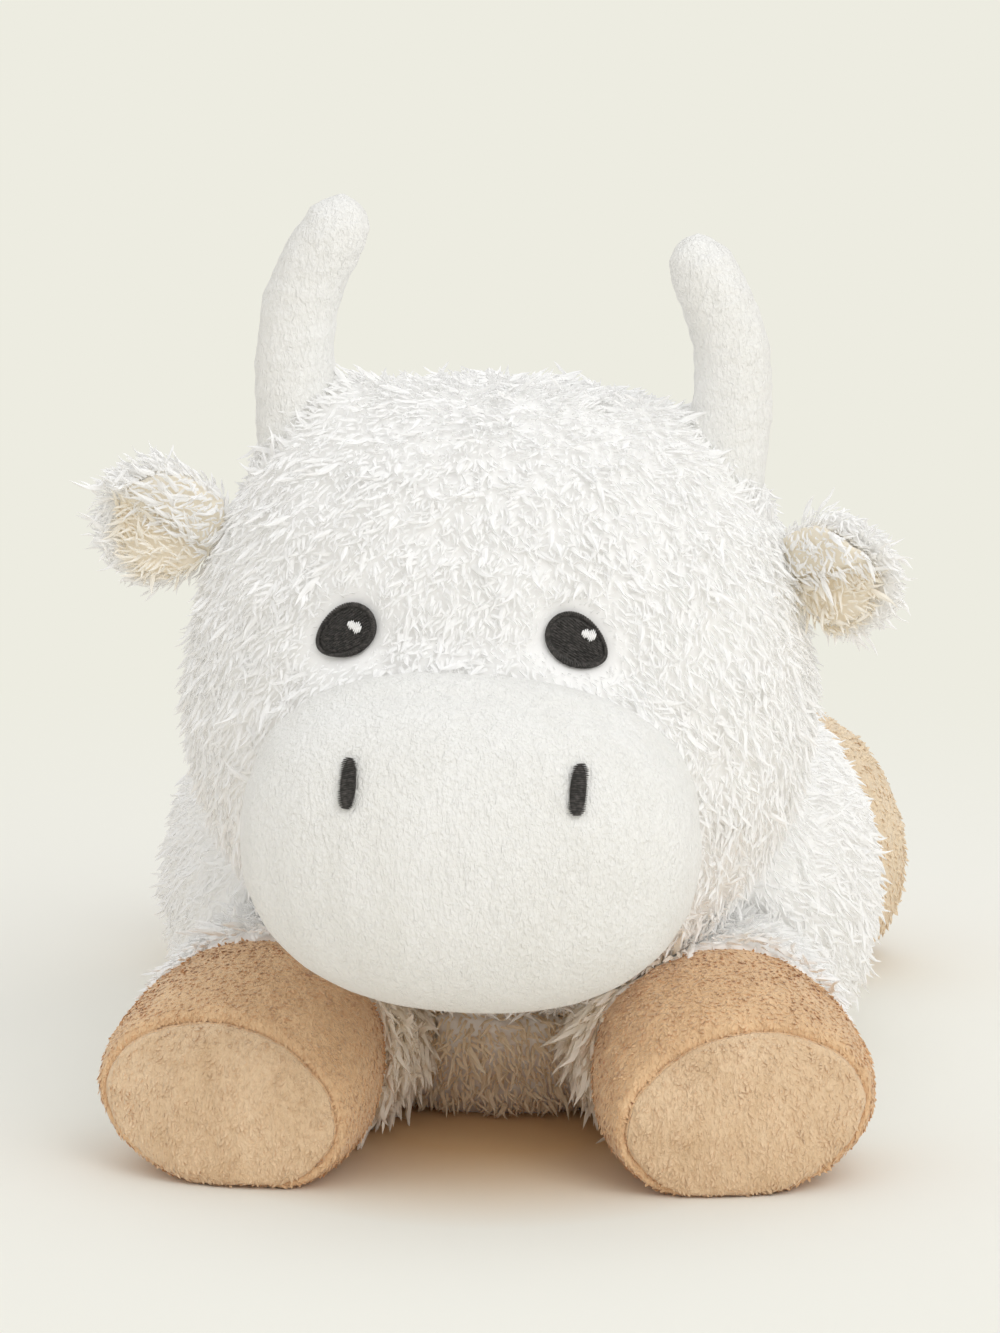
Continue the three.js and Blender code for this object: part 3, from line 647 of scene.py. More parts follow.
def pad(work, patch, half_along, half_across, height):
    for vertex in bmesh.ops.create_uvsphere(work, **PAD_FACETS, radius=1)["verts"]:
        along, across, up = vertex.co
        vertex.co = patch.point(along * half_along, across * half_across, up * height)


def stitch(work, patch, start, end, lift, thickness):
    begin = patch.point(*start, lift)
    finish = patch.point(*end, lift)
    along = (finish - begin).normalized()
    across = along.cross(patch.outward).normalized()
    turn = Matrix((across, along.cross(across) * -1, along)).transposed().to_4x4()
    size = Matrix.Diagonal((thickness / 2, thickness / 2, (finish - begin).length / 2, 1))
    place = Matrix.Translation((begin + finish) / 2)
    bmesh.ops.create_uvsphere(work, **STITCH_FACETS, radius=1, matrix=place @ turn @ size)


def sewn_piece(name, work, finish, slot, node):
    bmesh.ops.recalc_face_normals(work, faces=work.faces)
    piece = as_piece(name, work)
    piece.data.shade_smooth()
    print(name, "faces:", len(piece.data.polygons))
    return wear(piece, finish, slot, "head", node)


# %% Eyes
EYE_HALF_LENGTH = 9.8 * MM
EYE_HALF_WIDTH = 6.7 * MM
EYE_TILT = math.radians(35)
EYE_EGG = 0.16
ROPE_GAP = 0.5 * MM
PAD_HEIGHT = 0.55 * MM
STITCH_LIFT = 0.7 * MM
THREAD_WIDTH = 0.62 * MM
ROW_PITCH = 0.56 * MM
FILL_STITCH = 2.7 * MM
SHORTEST_STITCH = FILL_STITCH / 4
ROW_SHIFT = 0.37
ROPE_STITCHES = 76
ROPE_HALF_WIDTH = 0.62 * MM
ROPE_LEAN = 0.055
ROPE_WIDTH = 0.78 * MM
ROPE_LIFT = 0.85 * MM


def brick_rows(work, patch, half_along, half_across):
    rows = int(2 * half_across / ROW_PITCH)
    for row in range(rows):
        across = half_across * (2 * (row + 0.5) / rows - 1)
        reach = half_along * math.sqrt(1 - (across / half_across) ** 2)
        at = -reach - FILL_STITCH * (row * ROW_SHIFT % 1)
        while at < reach:
            start = max(at, -reach)
            end = min(at + FILL_STITCH, reach)
            if end - start > SHORTEST_STITCH:
                stitch(work, patch, (start, across), (end, across), STITCH_LIFT, THREAD_WIDTH)
            at += FILL_STITCH


def rope(work, patch, half_along, half_across):
    for number in range(ROPE_STITCHES):
        around = math.tau * number / ROPE_STITCHES
        ends = []
        for way in (-1, 1):
            angle = around + way * ROPE_LEAN
            ends.append(((half_along + way * ROPE_HALF_WIDTH) * math.cos(angle),
                         (half_across + way * ROPE_HALF_WIDTH) * math.sin(angle)))
        stitch(work, patch, *ends, ROPE_LIFT, ROPE_WIDTH)


face_tree = tree_of(head_skin)
rim = 2 * ROPE_HALF_WIDTH + ROPE_GAP
eyes = {}
for side, sign in SIDES.items():
    patch = Patch(face_tree, "eye", side, -sign * EYE_TILT, -sign * EYE_EGG)
    work = bmesh.new()
    pad(work, patch, EYE_HALF_LENGTH, EYE_HALF_WIDTH, PAD_HEIGHT)
    brick_rows(work, patch, EYE_HALF_LENGTH - rim, EYE_HALF_WIDTH - rim)
    rope(work, patch, EYE_HALF_LENGTH - ROPE_HALF_WIDTH, EYE_HALF_WIDTH - ROPE_HALF_WIDTH)
    node = f"eye_{side}"
    eyes[side] = sewn_piece(f"{node}_thread", work, black_thread, "black_thread", node)

# %% Glints
GLINT_THREADS = (1.6, 2.6, 3.1, 2.4, 3.2, 4.0, 3.4, 2.2)
GLINT_PITCH = 0.52 * MM
GLINT_LIFT = 1.25 * MM
GLINT_TURN = math.radians(-20)

for side in SIDES:
    patch = Patch(face_tree, "eye_glint", side, GLINT_TURN)
    work = bmesh.new()
    for number, length in enumerate(GLINT_THREADS):
        along = (number - (len(GLINT_THREADS) - 1) / 2) * GLINT_PITCH
        half = length * MM / 2
        stitch(work, patch, (along, -half), (along, half), GLINT_LIFT, THREAD_WIDTH)
    node = f"eye_glint_{side}"
    sewn_piece(f"{node}_thread", work, white_thread, "white_thread", node)

# %% Nostrils
NOSTRIL_PITCH = 0.45 * MM
NOSTRIL_UNEVEN = 0.3 * MM
NOSTRIL_SQUARENESS = 7
NOSTRIL_SHORTER = 0.93
NOSTRIL_TILT = math.radians(-3)
UNEVEN_STEP = 0.9
UNEVEN_SIDE = 5.5
UNEVEN_LEVEL = 0.5

muzzle_face_tree = tree_of(muzzle_skin)
nostrils = {}
for side, sign in SIDES.items():
    patch = Patch(muzzle_face_tree, "nostril", side, NOSTRIL_TILT)
    work = bmesh.new()
    half_height = patch.half_height * NOSTRIL_SHORTER
    pad(work, patch, patch.half_width, half_height, PAD_HEIGHT)
    threads = int(2 * half_height / NOSTRIL_PITCH)
    for number in range(threads):
        share = 2 * (number + 0.5) / threads - 1
        reach = patch.half_width * math.sqrt(1 - abs(share) ** NOSTRIL_SQUARENESS)
        spot = Vector((number * UNEVEN_STEP, sign * UNEVEN_SIDE, UNEVEN_LEVEL))
        uneven = noise.noise(spot) * NOSTRIL_UNEVEN
        ends = [(way * (reach + NOSTRIL_UNEVEN) + uneven, share * half_height) for way in (-1, 1)]
        stitch(work, patch, *ends, STITCH_LIFT, THREAD_WIDTH)
    node = f"nostril_{side}"
    nostrils[side] = sewn_piece(f"{node}_thread", work, black_thread, "black_thread", node)


# %% The skin drawn in around the thread
SINK_REACH = 5 * MM
EYE_SINK = 1.1 * MM
NOSTRIL_SINK = 0.9 * MM


def sink(skin, sewn, depth):
    tree = tree_of(*sewn)
    work = opened(skin)
    for vertex in work.verts:
        away = distance(tree, vertex.co, SINK_REACH)
        if away is not None:
            vertex.co -= vertex.normal * (depth * (1 - away / SINK_REACH) ** 2)
    closed(work, skin)
    print(skin.name, "drawn in by mm:", depth / MM)


sink(head_skin, eyes.values(), EYE_SINK)
sink(muzzle_skin, nostrils.values(), NOSTRIL_SINK)

# %% [markdown]
# ## Horns
# A horn is a sewn crescent of white plush. The cloth is a little too long on the inner side of the
# bend, so it creases there. The creases could be bump alone, but they show at the edge of the
# horn, so a small ripple is put into the skin itself. The crown rises to meet the horns' roots.

# %% Two creased horns
HORN_VOXEL = 2.0 * MM
HORN_CAP = 0.8 * MM
RIPPLE_HEIGHT = 0.45 * MM
RIPPLE_SCALE = 190
RIPPLE_SQUEEZE = (0.6, 0.6, 1.6)


def crease(piece):
    work = opened(piece)
    for vertex in work.verts:
        at = Vector([c * s * RIPPLE_SCALE for c, s in zip(vertex.co, RIPPLE_SQUEEZE)])
        vertex.co += vertex.normal * (noise.noise(at) * RIPPLE_HEIGHT)
    return closed(work, piece)


horns = {}
for side in SIDES:
    packed = [f"horn_{side}_cover", f"horn_{side}_stuffing"]
    horns[side] = crease(stuffed(f"horn_{side}_skin", packed, HORN_VOXEL, cap=HORN_CAP))
    wear(horns[side], plush, "plush", "head", *packed, fill=0.9)

# %% Raise the crown at the horns' roots
CROWN_RISE = {"left": 7 * MM, "right": 11 * MM}
CROWN_REACH = 34 * MM

for side, horn in horns.items():
    root_tree = tree_of(horn)
    work = opened(head_skin)
    for vertex in work.verts:
        near = 1 - distance(root_tree, vertex.co) / CROWN_REACH
        if near > 0 and vertex.normal.z > 0:
            vertex.co.z += CROWN_RISE[side] * near * near * vertex.normal.z
    closed(work, head_skin)
    print("crown raised on the", side, "by up to mm:", CROWN_RISE[side] / MM)

# %% [markdown]
# ## Legs and hooves
# A leg is one stuffed tube: a fleece sleeve, a tan hoof upper and a domed sole, painted a paler
# tan as painted light for the way light and nap fall on its face. The hind uppers are the same tan,
# painted palest as painted light. Where two cloths are sewn together the thread pulls both into a
# narrow groove with rounded lips. Three tubes could be butted together, but their edges would not
# match, so the whole limb is made as one skin first, the grooves are pressed into it, and then it
# is cut at the bottom of each groove into its three cloths.


# %% Find the flat seam faces of a imported node
FACING = 0.6
SAME_WAY_DIGITS = 2


def seam_plane(node, toward):
    work = bmesh.new()
    work.from_mesh(nodes[node].data)
    bmesh.ops.remove_doubles(work, verts=work.verts, dist=MERGE)
    work.normal_update()
    flats = {}
    for face in work.faces:
        if face.normal.dot(toward) > FACING:
            key = tuple(round(v, SAME_WAY_DIGITS) for v in face.normal)
            flats.setdefault(key, []).append(face)
    flat = max(flats.values(), key=lambda faces: sum(f.calc_area() for f in faces))
    area = sum(f.calc_area() for f in flat)
    middle = sum((f.calc_center_median() * f.calc_area() for f in flat), Vector()) / area
    normal = flat[0].normal.copy()
    work.free()
    return middle, normal


# %% Press a seam into a skin
SEAM_RADIUS = 2.0 * MM
SEAM_LOOPS = (-1.0, -0.65, -0.35, -0.12, 0.0, 0.12, 0.35, 0.65, 1.0)
PUCKER = 0.35 * MM
PUCKER_SCALE = 260
PUCKER_REACH = 3


def press_seam(piece, middle, normal):
    work = opened(piece)
    for share in SEAM_LOOPS:
        near = [f for f in work.faces
                if abs((f.calc_center_median() - middle).dot(normal)) < PUCKER_REACH * SEAM_RADIUS]
        edges = [e for f in near for e in f.edges]
        verts = [v for f in near for v in f.verts]
        geom = list(dict.fromkeys(near + edges + verts))
        at = middle + normal * (share * SEAM_RADIUS)
        bmesh.ops.bisect_plane(work, geom=geom, dist=MERGE, plane_co=at, plane_no=normal)
    work.normal_update()
    for vertex in work.verts:
        off = abs((vertex.co - middle).dot(normal)) / SEAM_RADIUS
        if off < PUCKER_REACH:
            gathers = noise.noise(vertex.co * PUCKER_SCALE) * PUCKER * (1 - off / PUCKER_REACH)
            lip = 1 - min(1.0, off)
            groove = SEAM_RADIUS * (1 - math.sqrt(1 - lip ** 2))
            vertex.co += vertex.normal * (gathers - groove)
    return closed(work, piece)


def cut_piece(name, source, planes):
    work = opened(source)
    for middle, normal in planes:
        geom = work.verts[:] + work.edges[:] + work.faces[:]
        bmesh.ops.bisect_plane(work, geom=geom, dist=MERGE, plane_co=middle, plane_no=normal,
                               clear_outer=True)
        rim = [e for e in work.edges if e.is_boundary]
        bmesh.ops.holes_fill(work, edges=rim)
    bmesh.ops.recalc_face_normals(work, faces=work.faces)
    piece = as_piece(name, work)
    piece.data.shade_smooth()
    return piece


# %% Four limbs
LIMB_VOXEL = {"front": 2.4 * MM, "hind": 3.2 * MM}
LIMB_ROUNDS = 5
LIMB_PARTS = ("leg_cover", "hoof_upper", "hoof_sole", "leg_stuffing")

limb_forms = {}
limb_ends = {}
hooves = {}
for pair, voxel in LIMB_VOXEL.items():
    for side in SIDES:
        limb = f"{pair}_{side}"
        upper_finish = hoof_plush if pair == "front" else hind_painted_light_plush
        packed = [f"{limb}_{part}" for part in LIMB_PARTS]
        cover, upper_node, sole_node, filling = packed
        ankle_low, ankle_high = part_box(cover)
        toe_low, toe_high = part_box(sole_node)
        heading = ((toe_low + toe_high) - (ankle_low + ankle_high)).normalized()
        form = stuffed(f"{limb}_form", packed, voxel, LIMB_ROUNDS)
        ankle = seam_plane(cover, heading)
        toe_middle, toe_normal = seam_plane(sole_node, -heading)
        toe = (toe_middle, -toe_normal)
        press_seam(form, *ankle)
        press_seam(form, *toe)
        sleeve = cut_piece(f"{limb}_leg_skin", form, [ankle])
        upper = cut_piece(f"{limb}_hoof_upper_skin", form, [(ankle[0], -ankle[1]), toe])
        sole = cut_piece(f"{limb}_hoof_sole_skin", form, [(toe[0], -toe[1])])
        wear(sleeve, fleece, "fleece", f"{limb}_leg", cover, filling, fill=0.8)
        wear(upper, upper_finish, "hoof_plush", f"{limb}_leg", upper_node, fill=0.9)
        wear(sole, sole_painted_light_plush, "hoof_plush", f"{limb}_leg", sole_node, fill=0.9)
        limb_forms[limb] = form
        limb_ends[limb] = ankle
        hooves[limb] = {"upper": (upper, upper_finish), "sole": (sole, sole_painted_light_plush),
                        "seams": (ankle, toe)}

# %% [markdown]
# ## Ears and tail
# An ear is two thin panels sewn edge to edge and cupped forward: curly fleece behind, shorter
# fleece in front, whose skin and the locks under the fold carry a painted beige shade. It was
# folded lengthwise when it was sewn on, so the upper half of the front hangs over the lower half. A
# painted line would show the fold from the front alone, so it is pressed into the front skin as a
# step. The tail is a short fleece tube with a tuft.

# %% Ear skins
EAR_VOXEL = 1.4 * MM
EAR_CAP = 0.3 * MM
THIN_ROUNDS = 2

ear_skins = {}
for side in SIDES:
    # The front panel's skin wears the painted beige shade.
    for panel, finish in (("back", fleece), ("front", ear_lining_painted_shade)):
        node = f"ear_{side}_{panel}"
        ear_skins[side, panel] = stuffed(f"{node}_skin", [node], EAR_VOXEL, THIN_ROUNDS, EAR_CAP)
        wear(ear_skins[side, panel], finish, "fleece", f"ear_{side}", node, fill=0.3)

# %% The fold along each ear
FOLD_HEIGHT = 2.6 * MM
FOLD_PIT = 1.0 * MM
FOLD_TOP = 16 * MM
FOLD_UNDER = 4 * MM
FOLD_ENDS = 0.22
HEAD_LOW, HEAD_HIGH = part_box("head_cover")
HEAD_MIDDLE = (HEAD_LOW + HEAD_HIGH) / 2


def ear_ways(side):
    spots = [v.co for v in ear_skins[side, "front"].data.vertices]
    root = min(spots, key=lambda p: (p - HEAD_MIDDLE).length).copy()
    tip = max(spots, key=lambda p: (p - HEAD_MIDDLE).length).copy()
    out = (tip - root).normalized()
    forward = mean_point(ear_skins[side, "front"]) - mean_point(ear_skins[side, "back"])
    forward = (forward - out * forward.dot(out)).normalized()
    up = out.cross(forward)
    return {"root": root, "tip": tip, "out": out, "forward": forward, "up": up if up.z > 0 else -up}


def fold(piece, root, tip, out, forward, up):
    length = (tip - root).length
    middle = mean_point(piece)
    work = opened(piece)
    for vertex in work.verts:
        share = (vertex.co - root).dot(out) / length
        inside = max(0.0, min(1.0, share / FOLD_ENDS, (1 - share) / FOLD_ENDS))
        height = (vertex.co - middle).dot(up)
        if height >= 0:
            step = FOLD_HEIGHT * max(0.0, 1 - height / FOLD_TOP)
        else:
            step = -FOLD_PIT * max(0.0, 1 + height / FOLD_UNDER)
        vertex.co += forward * (step * inside)
    return closed(work, piece)


ears = {side: ear_ways(side) for side in SIDES}
for side in SIDES:
    fold(ear_skins[side, "front"], **ears[side])
    ear_length = (ears[side]["tip"] - ears[side]["root"]).length
    print("ear", side, "length in mm:", round(ear_length / MM, 1))

# %% Tail skins
TAIL_VOXEL = 2 * MM
TUFT_VOXEL = 2.5 * MM
TAIL_CAP = 0.5 * MM

tail_skin = stuffed("tail_skin", ["tail_cover"], TAIL_VOXEL, THIN_ROUNDS, TAIL_CAP)
tuft_skin = stuffed("tail_tuft_skin", ["tail_tuft"], TUFT_VOXEL, THIN_ROUNDS, TAIL_CAP)
wear(tail_skin, fleece, "fleece", "tail", "tail_cover", fill=0.6)
wear(tuft_skin, fleece, "fleece", "tail", "tail_tuft", fill=0.6)

# %% [markdown]
# ## Locks of fleece and fibres of nap
# The fleece is made of short flat locks that lean over and flick up to a point, with finer strands
# of wool between them. The nap of a hoof is made of single fibre tufts that do the same on a
# smaller scale. Hair would render well but is not a solid that can be kept. So a lock is extruded
# ring by ring from a small flat ring, turned and narrowed a little at each step. A few kinds with
# other bends keep the eye from seeing the same lock twice. A lock's sharp side edges are kept
# sharp: rounding them would turn the shading away from the true shape, and the white fleece would
# go grey.

# %% Extrude one lock
LOCK_POINT = 0.9
SHARP_EDGE = math.radians(60)


def grow_lock(name, size, over, around):
    work = bmesh.new()
    along = work.verts.layers.float.new("along")
    ring = bmesh.ops.create_circle(work, cap_ends=True, segments=size["sides"], radius=1)["verts"]
    bmesh.ops.scale(work, vec=(size["thickness"], size["width"], 1), verts=ring)
    tip = work.faces[:]
    middle = Vector((0, 0, 0))
    heading = Matrix.Identity(3)
    before = 1.0
    for number, taper in enumerate(size["taper"]):
        bend = Euler((0, math.radians(over[number]), math.radians(around[number]))).to_matrix()
        grown = bmesh.ops.extrude_face_region(work, geom=tip)["geom"]
        if number > 0:
            bmesh.ops.delete(work, geom=tip, context="FACES_ONLY")
        ring = [v for v in grown if isinstance(v, bmesh.types.BMVert)]
        tip = [f for f in grown if isinstance(f, bmesh.types.BMFace)]
        turn = heading @ bend @ heading.inverted()
        heading = heading @ bend
        step = heading @ Vector((0, 0, size["step"]))
        middle += step
        bmesh.ops.translate(work, vec=step, verts=ring)
        about_middle = Matrix.Translation(-middle)
        bmesh.ops.scale(work, vec=(taper / before,) * 3, space=about_middle, verts=ring)
        bmesh.ops.rotate(work, cent=middle, matrix=turn, verts=ring)
        before = taper
        for vertex in ring:
            vertex[along] = (number + 1) / (len(size["taper"]) + 1)
    top = bmesh.ops.poke(work, faces=tip)["verts"][0]
    top.co = middle + heading @ Vector((0, 0, size["step"] * LOCK_POINT))
    top[along] = 1.0
    bmesh.ops.recalc_face_normals(work, faces=work.faces)
    for face in work.faces:
        face.smooth = True
    for edge in work.edges:
        edge.smooth = edge.calc_face_angle() < SHARP_EDGE
    return as_piece(name, work)


def triangles(piece):
    return sum(len(face.vertices) - 2 for face in piece.data.polygons)


def grow_kinds(name, size, bends):
    kinds = bpy.data.collections.new(name)
    for number, (over, around) in enumerate(bends):
        lock = grow_lock(f"{name}_{number}", size, over, around)
        scene.collection.objects.unlink(lock)
        kinds.objects.link(lock)
    print(name, "kinds:", len(bends), "triangles each:", triangles(lock))
    return kinds


# %% The kinds of lock, wool and nap
LOCK = {"sides": 4, "step": 1.35 * MM, "width": 0.62 * MM, "thickness": 0.4 * MM,
        "taper": (1.1, 1.2, 1.0, 0.75, 0.4)}
LOCK_BENDS = [
    ((64, 12, 2, -10, -14), (0, 14, 24, 26, 20)),
    ((60, 16, 4, -8, -18), (0, -12, -22, -28, -24)),
    ((68, 8, -2, -12, -10), (6, 10, -8, -22, -30)),
    ((58, 16, 8, -4, -16), (-6, -8, 10, 24, 28)),
    ((52, 18, -6, -18, -8), (0, 22, 30, 18, 4)),
    ((46, 14, 10, -6, -20), (0, -20, -28, -14, 10)),
]
WOOL = {"sides": 3, "step": 1.5 * MM, "width": 0.5 * MM, "thickness": 0.32 * MM,
        "taper": (1.05, 0.75)}
WOOL_BENDS = [
    ((54, 18), (0, 45)),
    ((60, 12), (0, -50)),
    ((48, 24), (12, 40)),
    ((62, 6), (-12, -44)),
]
NAP = {"sides": 3, "step": 0.85 * MM, "width": 0.5 * MM, "thickness": 0.17 * MM,
       "taper": (0.95,)}
NAP_BENDS = [((73,), (0,)), ((78,), (14,)), ((69,), (-12,)), ((75,), (-20,))]

locks = grow_kinds("locks", LOCK, LOCK_BENDS)
wool = grow_kinds("wool", WOOL, WOOL_BENDS)
nap = grow_kinds("nap", NAP, NAP_BENDS)

# %% [markdown]
# ## Sowing the locks
# Tens of thousands of locks cannot be placed by hand. A short Geometry Nodes tree sows points at an
# even spacing, stands a random lock on each, leans it the way the fleece lies and turns the result
# into a mesh. Two values kept on the skin steer it: `pile`, how long the fleece is at a point, and
# `flow`, the way it lies there. Fleece is sown in two layers, wide locks and fine wool. A Random
# Value node has sockets for vectors, numbers and counts, so they go by their place.

# %% The sowing tree
YAW_SPREAD = math.radians(50)
TILT_SPREAD = math.radians(14)
MOST_LOCKS_PER_M2 = 2000000
LEAST_PILE = 0.05
LOCK_SIZES = (0.65, 1.3)
LAYER_SEED = 500
VECTOR_LOW, VECTOR_HIGH = 0, 1
NUMBER_LOW, NUMBER_HIGH, NUMBER_DRAWN = 2, 3, 1
COUNT_LOW, COUNT_HIGH, COUNT_DRAWN = 4, 5, 2


def sown_layer(start, skin, kinds, spacing, seed):
    kept = "GeometryNodeInputNamedAttribute"
    pile = start.node(kept, {"data_type": "FLOAT"}, {"Name": "pile"})
    flow = start.node(kept, {"data_type": "FLOAT_VECTOR"}, {"Name": "flow"})
    grown = pile.maths("GREATER_THAN", pile, LEAST_PILE)
    sown = start.node("GeometryNodeDistributePointsOnFaces", {"distribute_method": "POISSON"}, {
        "Mesh": skin, "Distance Min": spacing, "Density Max": MOST_LOCKS_PER_M2,
        "Density Factor": grown, "Seed": seed})
    normal = Value(start.tree, sown.socket.node.outputs["Normal"])
    upright = start.node("FunctionNodeAlignRotationToVector", {"axis": "Z"}, {"Vector": normal})
    lying = start.node("FunctionNodeAlignRotationToVector", {"axis": "X", "pivot_axis": "Z"},
                       {"Rotation": upright, "Vector": flow})
    spread = (TILT_SPREAD, TILT_SPREAD, YAW_SPREAD)
    wobble = start.node("FunctionNodeRandomValue", {"data_type": "FLOAT_VECTOR"}, {
        VECTOR_LOW: [-v for v in spread], VECTOR_HIGH: spread, "Seed": seed + 1})
    swerve = start.node("FunctionNodeEulerToRotation", {}, {"Euler": wobble})
    turned = start.node("FunctionNodeRotateRotation", {"rotation_space": "LOCAL"}, {
        "Rotation": lying, "Rotate By": swerve})
    size = start.node("FunctionNodeRandomValue", {"data_type": "FLOAT"}, {
        NUMBER_LOW: LOCK_SIZES[0], NUMBER_HIGH: LOCK_SIZES[1], "Seed": seed + 2}, out=NUMBER_DRAWN)
    kind = start.node("FunctionNodeRandomValue", {"data_type": "INT"}, {
        COUNT_LOW: 0, COUNT_HIGH: len(kinds.objects) - 1, "Seed": seed + 3}, out=COUNT_DRAWN)
    bundle = start.node("GeometryNodeCollectionInfo", {}, {
        "Collection": kinds, "Separate Children": True, "Reset Children": True})
    return start.node("GeometryNodeInstanceOnPoints", {}, {
        "Points": sown, "Instance": bundle, "Pick Instance": True, "Instance Index": kind,
        "Rotation": turned, "Scale": size * pile})


def sowing_tree(layers, seed):
    tree = bpy.data.node_groups.new("sow_locks", "GeometryNodeTree")
    tree.interface.new_socket("Geometry", in_out="INPUT", socket_type="NodeSocketGeometry")
    tree.interface.new_socket("Geometry", in_out="OUTPUT", socket_type="NodeSocketGeometry")
    start = Value(tree)
    skin = start.node("NodeGroupInput")
    joined = tree.nodes.new("GeometryNodeJoinGeometry")
    for number, (kinds, spacing) in enumerate(layers):
        layer = sown_layer(start, skin, kinds, spacing, seed + LAYER_SEED * number)
        tree.links.new(layer.socket, joined.inputs[0])
    all_locks = Value(tree, joined.outputs[0])
    solid = start.node("GeometryNodeRealizeInstances", {}, {"Geometry": all_locks})
    tree.links.new(solid.socket, tree.nodes.new("NodeGroupOutput").inputs[0])
    return tree


# %% Sow one skin
FLOOR_CLEARANCE = 0.4 * MM
FLOW_WANDER = ((55, 0.7), (170, 0.9))
TUFT_SCALE = 150
TUFT_UNEVEN = 0.35
CLUMP_SCALE = 105
CLUMP_HEIGHT = 1.5 * MM
CLUMP_RAISED = 0.6
LOCK_SPACING = 4.0 * MM
WOOL_SPACING = 1.4 * MM


def fleece_layers(coarser):
    return ((locks, LOCK_SPACING * coarser), (wool, WOOL_SPACING * coarser))


def sow(name, skin, body, pile_at, flow_at, layers, seed, keep=None, finish=fleece,
        slot="fleece"):
    work = opened(skin)
    if keep:
        others = [f for f in work.faces if not keep(f.calc_center_median())]
        bmesh.ops.delete(work, geom=others, context="FACES")
    pile = work.verts.layers.float.new("pile")
    flow = work.verts.layers.float_vector.new("flow")
    for vertex in work.verts:
        tufts = 1 + noise.noise(vertex.co * TUFT_SCALE) * TUFT_UNEVEN
        full = pile_at(vertex.co, vertex.normal)
        vertex[pile] = full * tufts
        way = flow_at(vertex.co, vertex.normal)
        for scale, wander in FLOW_WANDER:
            way += noise.noise_vector(vertex.co * scale) * wander
        vertex[flow] = way - vertex.normal * way.dot(vertex.normal)
        if slot == "fleece":
            clumps = (noise.noise(vertex.co * CLUMP_SCALE) + CLUMP_RAISED) * CLUMP_HEIGHT
            vertex.co += vertex.normal * (clumps * min(1.0, full))
    piece = as_piece(name, work)
    sower = piece.modifiers.new("sow", "NODES")
    sower.node_group = sowing_tree(layers, seed)
    settle(piece)
    for vertex in piece.data.vertices:
        vertex.co.z = max(vertex.co.z, FLOOR_CLEARANCE)
    wear(piece, finish, slot, body)
    print(name, "triangles:", triangles(piece))
    return piece


# %% [markdown]
# ## Where the fleece grows
# No locks grow where another piece is sewn on or pressed against the skin. Beside the eyes the pile
# is short and parts, over the muzzle it is long, and at the horns it is longest and leans on them.
# It could be combed by hand, but the distance to each neighbour already says which is which. The
# big skins are sown in four quarters, so that no piece is too heavy to keep.

# %% Distances to the neighbours
UNDER_PIECE = 1.3 * MM


def grown_by(away, reach, least):
    if away < UNDER_PIECE:
        return 0.0
    return least + (1 - least) * min(1.0, (away - UNDER_PIECE) / reach)


eye_tree = tree_of(*eyes.values())
muzzle_tree = tree_of(muzzle_skin)
horn_tree = tree_of(*horns.values())
head_tree = tree_of(head_skin)
limb_tree = tree_of(*limb_forms.values())
tail_tree = tree_of(tail_skin)

BODY_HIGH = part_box("body_cover")[1]
BODY_MIDDLE = Vector((0, 0, 50 * MM))
BODY_HALF = Vector((BODY_HIGH.x, BODY_HIGH.y, BODY_HIGH.z - BODY_MIDDLE.z))


def depth_in_body(point):
    off = point - BODY_MIDDLE
    share = Vector([v / h for v, h in zip(off, BODY_HALF)]).length
    return (1 - share) * BODY_HALF.z


def quarters(split_y):
    for side, sign in SIDES.items():
        for end, ahead in (("front", -1), ("back", 1)):
            def keep(point, sign=sign, ahead=ahead):
                return point.x * sign >= 0 and (point.y - split_y) * ahead >= 0
            yield f"{end}_{side}", keep


# %% Fleece of the head
HEAD_FLEECE = fleece_layers(1.0)
NESTED_DEPTH = 12 * MM
HEAD_SPLIT = HEAD_MIDDLE.y - 12 * MM
EYE_BARE = 0.2 * MM
EYE_PILE = (8 * MM, 0.4)
EYE_REACH = 7 * MM
EYE_PARTING = 2.5
MUZZLE_OVERLAP = 1.0 * MM
MUZZLE_PILE = (5 * MM, 0.9)
BROW_PILE = 1.5
HORN_TUFTS = 1.45
HORN_OVERLAP = 0.8 * MM
HORN_PILE = (2 * MM, 0.9)
HORN_REACH = 9 * MM
HORN_LEAN = 4.0
HEAD_SIDEWAYS = 6
HEAD_FORWARD = -0.6
HEAD_SEED = 10


def head_pile(point, normal):
    if depth_in_body(point) > NESTED_DEPTH:
        return 0.0
    round_eyes = grown_by(distance(eye_tree, point) - EYE_BARE, *EYE_PILE)
    round_muzzle = grown_by(distance(muzzle_tree, point) + MUZZLE_OVERLAP, *MUZZLE_PILE)
    if point.z > muzzle_middle.z:
        round_muzzle *= BROW_PILE
    round_horns = HORN_TUFTS * grown_by(distance(horn_tree, point) + HORN_OVERLAP, *HORN_PILE)
    return min(round_eyes, round_muzzle, round_horns)


def head_flow(point, normal):
    way = Vector((point.x * HEAD_SIDEWAYS, HEAD_FORWARD, -1))
    horn = horn_tree.find_nearest(point)[0]
    near = 1 - (horn - point).length / HORN_REACH
    if near > 0:
        way += (horn - point).normalized() * (HORN_LEAN * near)
    eye = eye_tree.find_nearest(point)[0]
    near = 1 - (eye - point).length / EYE_REACH
    if near > 0:
        way -= (eye - point).normalized() * (EYE_PARTING * near)
    return way


for number, (quarter, keep) in enumerate(quarters(HEAD_SPLIT)):
    sow(f"head_locks_{quarter}", head_skin, "head", head_pile, head_flow, HEAD_FLEECE,
        HEAD_SEED + number, keep)

